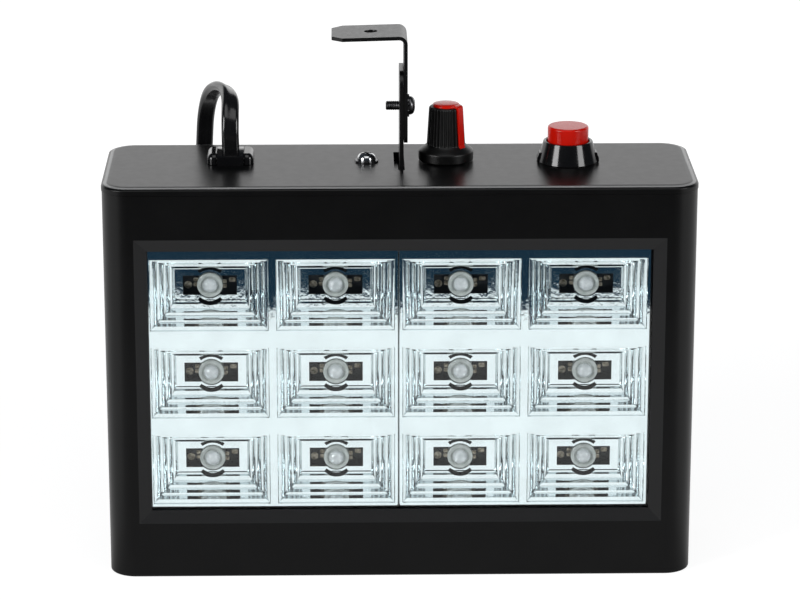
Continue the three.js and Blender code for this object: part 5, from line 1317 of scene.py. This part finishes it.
def make_hanger(finish):
    low, high = node_box("hanging_bracket")
    middle_x, top = high.x - HANGER_T / 2, high.z - HANGER_LOWER - HANGER_T / 2
    bend = HANGER_BEND_R + HANGER_T / 2
    droop = radians(HANGER_DROOP_DEG)
    line = [(middle_x, low.z + d) for d in end_steps(HANGER_LOW_R)]
    line += arc(middle_x - bend, top - bend, bend, 0, 90 + HANGER_DROOP_DEG, 8)
    reach = line[-1][0] - low.x
    for d in (HANGER_BEND_CLEAR, reach - HANGER_END_CHAMFER, reach - HANGER_TIP, reach):
        line.append((middle_x - bend - bend * sin(droop) - d * cos(droop),
                     top - bend + bend * cos(droop) - d * sin(droop)))

    def width_at(s, total):
        chamfer = min(HANGER_END_CHAMFER - (total - s), HANGER_END_CHAMFER - HANGER_END_STEP)
        return HANGER_W - rounded_end(s, HANGER_LOW_R) - 2 * max(chamfer, 0)

    holes = [moved(to_right(rod(SCREW_HOLE_D, -PAST, 3 * PAST)), 0, 0, PIVOT_Z),
             moved(rod(HANGER_HOLE_D, top - 2 * PAST, top + 2 * PAST, 40), HANGER_HOLE_X)]
    piece("hanger_plate", bent_plate(line, HANGER_T, width_at), finish, "black_steel", where=(0, BRACKET_Y, 0),
          body="hanger", replaces=("hanging_bracket",), cut=holes, edge=0.12, edge_angle=30, angle=40)


# Height and radius of a pan head as shares of its whole height and radius, from the top down
HEAD_PROFILE = ((1, 0), (0.99, 0.3), (0.93, 0.55), (0.8, 0.75), (0.58, 0.9), (0.3, 0.98), (0.12, 1), (0, 0.985))
RECESS_SHARE = (0.62, 0.17, 0.35)
THREAD_START = 0.3
THREAD_END = 0.6
TIP_CHAMFER = (0.15, 0.35)
TEETH = 18
TOOTH_POINTS = 4
TOOTH_H = 0.35


def screw_form(head_d, head_h, shank_l, recess_turn):
    """Pan head with a cross recess, above a threaded shank. The seat is at zero."""
    head = [(share * head_d / 2, up * head_h) for up, share in HEAD_PROFILE]
    shank = [(THREAD_D / 2, 0)]
    z = -THREAD_START
    while z > -shank_l + THREAD_END:
        shank += [(THREAD_D / 2, z), (SCREW_D / 2, z - THREAD_PITCH / 2)]
        z -= THREAD_PITCH
    shank += [(THREAD_D / 2, -shank_l + TIP_CHAMFER[1]), (SCREW_D / 2 - TIP_CHAMFER[0], -shank_l), (0, -shank_l)]
    long, wide = (share * head_d / 2 for share in RECESS_SHARE[:2])
    arms = [block(-x, x, -y, y, head_h * RECESS_SHARE[2], head_h + 1) for x, y in ((long, wide), (wide, long))]
    return turned([*head, *shank][::-1], 40), [spun(arm, recess_turn) for arm in arms]


def washer_form(outer_d, hole_d, thickness):
    """Toothed lock washer: its rim goes in and out."""
    count, rows = TEETH * TOOTH_POINTS, []
    for radius, z in ((hole_d / 2, 0), (outer_d / 2, 0), (outer_d / 2, thickness), (hole_d / 2, thickness)):
        row = []
        for i in range(count):
            angle = 2 * pi * i / count
            r = radius - (TOOTH_H if i % TOOTH_POINTS == 0 and radius > hole_d / 2 else 0)
            row.append((r * cos(angle), r * sin(angle), z))
        rows.append(row)
    return skin([*rows, rows[0]], closed_ends=False)


FOOT_HEAD_D = 5.7
FOOT_WASHER_D = 7.1
PIVOT_HEAD_D = 5.6
PIVOT_HEAD_RISE = 0.15
PIVOT_WASHER_D = 6.8
REAR_HEAD = (5.7, 2.1)


def make_screw(name, node, finish, slot, sizes, recess_turn, **place):
    form, arms = screw_form(*sizes, recess_turn)
    piece(name, form, finish, slot, replaces=(node,), cut=arms, angle=30, **place)


def make_screws(steel_finish, chrome_finish):
    foot_low, foot_high = node_box("foot_screw")
    low, high = node_box("foot_washer")
    foot, seat = node_middle("foot_screw").xy, high.z
    sizes = (FOOT_HEAD_D, foot_high.z - seat, seat - foot_low.z)
    make_screw("foot_bolt", "foot_screw", chrome_finish, "chrome", sizes, 20, where=(*foot, seat))
    piece("foot_lock_washer", washer_form(FOOT_WASHER_D, SCREW_HOLE_D, seat - low.z), steel_finish, "black_steel",
          where=(*foot, low.z), replaces=("foot_washer",), angle=30)
    pivot_low, pivot_high = node_box("pivot_screw")
    low, high = node_box("pivot_washer")
    seat = high.x
    sizes = (PIVOT_HEAD_D, pivot_high.x - seat + PIVOT_HEAD_RISE, seat - pivot_low.x)
    make_screw("pivot_bolt", "pivot_screw", steel_finish, "black_steel", sizes, 10, way=to_right,
               where=(seat, BRACKET_Y, PIVOT_Z))
    piece("pivot_lock_washer", washer_form(PIVOT_WASHER_D, SCREW_HOLE_D, seat - low.x), steel_finish, "black_steel",
          way=to_right, where=(low.x, BRACKET_Y, PIVOT_Z), replaces=("pivot_washer",), angle=30)


def make_rear_screws(finish):
    head_d, head_h = REAR_HEAD
    for index in range(4):
        node = f"rear_screw_{index + 1}"
        low, high = node_box(node)
        seat = high.y - head_h
        make_screw(f"cover_bolt_{index + 1}", node, finish, "black_steel", (head_d, head_h, seat - low.y),
                   45 + 20 * index, way=to_rear, where=((low.x + high.x) / 2, seat, (low.z + high.z) / 2))


# ---- tie and plug
TIE_T = 0.8
TIE_L = 4.0
TIE_INNER_R = 1.4
TIE_OUTER_R = 2.2
TIE_GAP = 0.45
TIE_ANGLE_DEG = -60
# Height, width, thickness and corner radius of each section of the plug
PLUG_SECTIONS = (
    (0, 25.2, 12.9, 3.8), (0.4, 26, 13.7, 4), (2, 29.4, 13.7, 4), (4, 33, 13.7, 4), (6, 35, 13.7, 4),
    (8, 35.3, 13.7, 4), (14, 35.3, 13.7, 4), (17, 34.6, 13.7, 4), (20, 32.2, 13.7, 4), (24, 27.8, 13.7, 4),
    (28, 23, 13.6, 4), (31, 19, 13.3, 4), (34, 14.9, 12.9, 4), (35.5, 12.9, 12.4, 4), (36, 12.2, 11.9, 3.9),
)
SNOUT_L = 16.0
SNOUT_RIBS = 6
SNOUT_FROM = 0.6
SNOUT_END_L = 2.6
PIN_PROFILE = ((0, 0), (2, 0), (2, 10), (1.88, 10.15), (1.88, 17.5), (1.65, 18.4), (1.1, 18.9), (0, 19))
SNOUT_R = 4.5
SNOUT_TAPER = 0.14
SNOUT_IN = 20
SNOUT_TIP = ((3.6, 0.6), (3.3, 0), (0, 0))
# How far each point of a rib lies inside the snout's radius, and its share of the rib's length
RIB_PROFILE = ((0.05, 0.55), (0.7, 0.68), (0.7, 0.88), (0.14, 1))


def make_tie(finish):
    inner_r = COIL_INNER_R - CORD_T / 2 - TIE_GAP
    outer_r = COIL_INNER_R + COIL_PITCH * (COIL_TURNS / 2 + 0.25) + CORD_T / 2 + TIE_GAP
    low = COIL_LOW_Z - CORD_W / 2 - TIE_GAP
    high = COIL_LOW_Z + COIL_LAYER + CORD_W / 2 + TIE_GAP
    wide, tall = outer_r - inner_r, high - low
    band = prism(rounded(wide + 2 * TIE_T, tall + 2 * TIE_T, TIE_OUTER_R, 8), -TIE_L / 2, TIE_L / 2)
    room = prism(rounded(wide, tall, TIE_INNER_R, 8), -TIE_L, TIE_L)

    def placed(form):
        form = to_front(moved(form, (inner_r + outer_r) / 2, (low + high) / 2, 0))
        return moved(spun(form, TIE_ANGLE_DEG), *COIL, 0)

    piece("coil_band", placed(band), finish, "cord", replaces=("cord_tie",), cut=[placed(room)], edge=0.2,
          edge_angle=60, angle=35)


def make_plug(finish, pin_finish):
    low, high = node_box("power_plug")
    middle = node_middle("power_plug")
    start, tip = PLUG_SECTIONS[-1][0] + SNOUT_FROM, high.y - low.y
    step = (SNOUT_L - SNOUT_END_L) / SNOUT_RIBS
    snout = [(0, SNOUT_IN), (SNOUT_R, SNOUT_IN), (SNOUT_R, start)]
    for rib in range(SNOUT_RIBS):
        snout += [(SNOUT_R - SNOUT_TAPER * rib - inset, start + (rib + share) * step) for inset, share in RIB_PROFILE]
    snout += [(radius, tip - before) for radius, before in SNOUT_TIP]
    body = skin([at(rounded(w, h, r, 8), z) for z, w, h, r in PLUG_SECTIONS])
    piece("plug_body", body, finish, "cord", way=to_rear, where=(middle.x, low.y, middle.z),
          replaces=("power_plug",), add=[turned(snout)], angle=40)
    for side in ("left", "right"):
        low, high = node_box(f"plug_pin_{side}")
        piece(f"pin_{side}", turned(PIN_PROFILE, 36), pin_finish, "chrome", way=to_front,
              where=((low.x + high.x) / 2, high.y, (low.z + high.z) / 2), replaces=(f"plug_pin_{side}",))


# ---- assembly
black = satin_black()
gloss = gloss_black()
red = signal_red()
cord_finish = cord_black()
steel = black_steel()
chrome = chromed()

make_camera()
cord, cord_points = make_cord(cord_finish)
make_lamps()
make_world()
make_floor()
make_shell(black)
make_lid(lid_black())
make_rear_cover(black)
mirror = mirror_coat()
make_reflector("reflectors_left", "reflector_left", mirror)
make_reflector("reflectors_right", "reflector_right", mirror)
make_emitters(emitter_resin(), emitter_dome(), solder_gold())
make_knob(matt_black(), red)
make_button(gloss, red)
make_spring(plain("spring_steel", (0.36, 0.37, 0.38), 0.3, 1.0))
make_relief(gloss)
make_strip(steel)
make_hanger(steel)
make_screws(dark_nickel(), chrome)
make_rear_screws(steel)
make_tie(cord_finish)
make_plug(cord_finish, chrome)

finishes = {
    "window_pane": clear_window(),
    "led_board": board_mask(),
    "driver_board": board_green(),
    "transformer": plain("winding_tape", (0.58, 0.36, 0.02), 0.5),
    "filter_capacitor": plain("capacitor_sleeve", (0.016, 0.04, 0.19), 0.35),
    "terminal_block": plain("terminal_green", (0.03, 0.2, 0.08), 0.5),
    "switch_body": plain("switch_brown", (0.02, 0.018, 0.016), 0.5),
    "speed_pot": plain("pot_steel", (0.2, 0.2, 0.21), 0.4, 1.0),
    "pot_nut": zinc_plated(),
    "pot_shaft": zinc_plated(),
    "button_nut": zinc_plated(),
    "inner_cord": cord_finish,
    "pot_lead": plain("lead_blue", (0.016, 0.04, 0.19), 0.35),
    "switch_lead": plain("lead_blue_2", (0.016, 0.04, 0.19), 0.35),
    "led_lead": plain("lead_red", (0.5, 0.01, 0.004), 0.35),
}
for index in range(4):
    finishes[f"led_screw_{index + 1}"] = zinc_plated()
for node, finish in finishes.items():
    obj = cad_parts[node]
    obj.data.materials.clear()
    obj.data.materials.append(finish)

scene = bpy.context.scene
scene.view_settings.view_transform = "Standard"
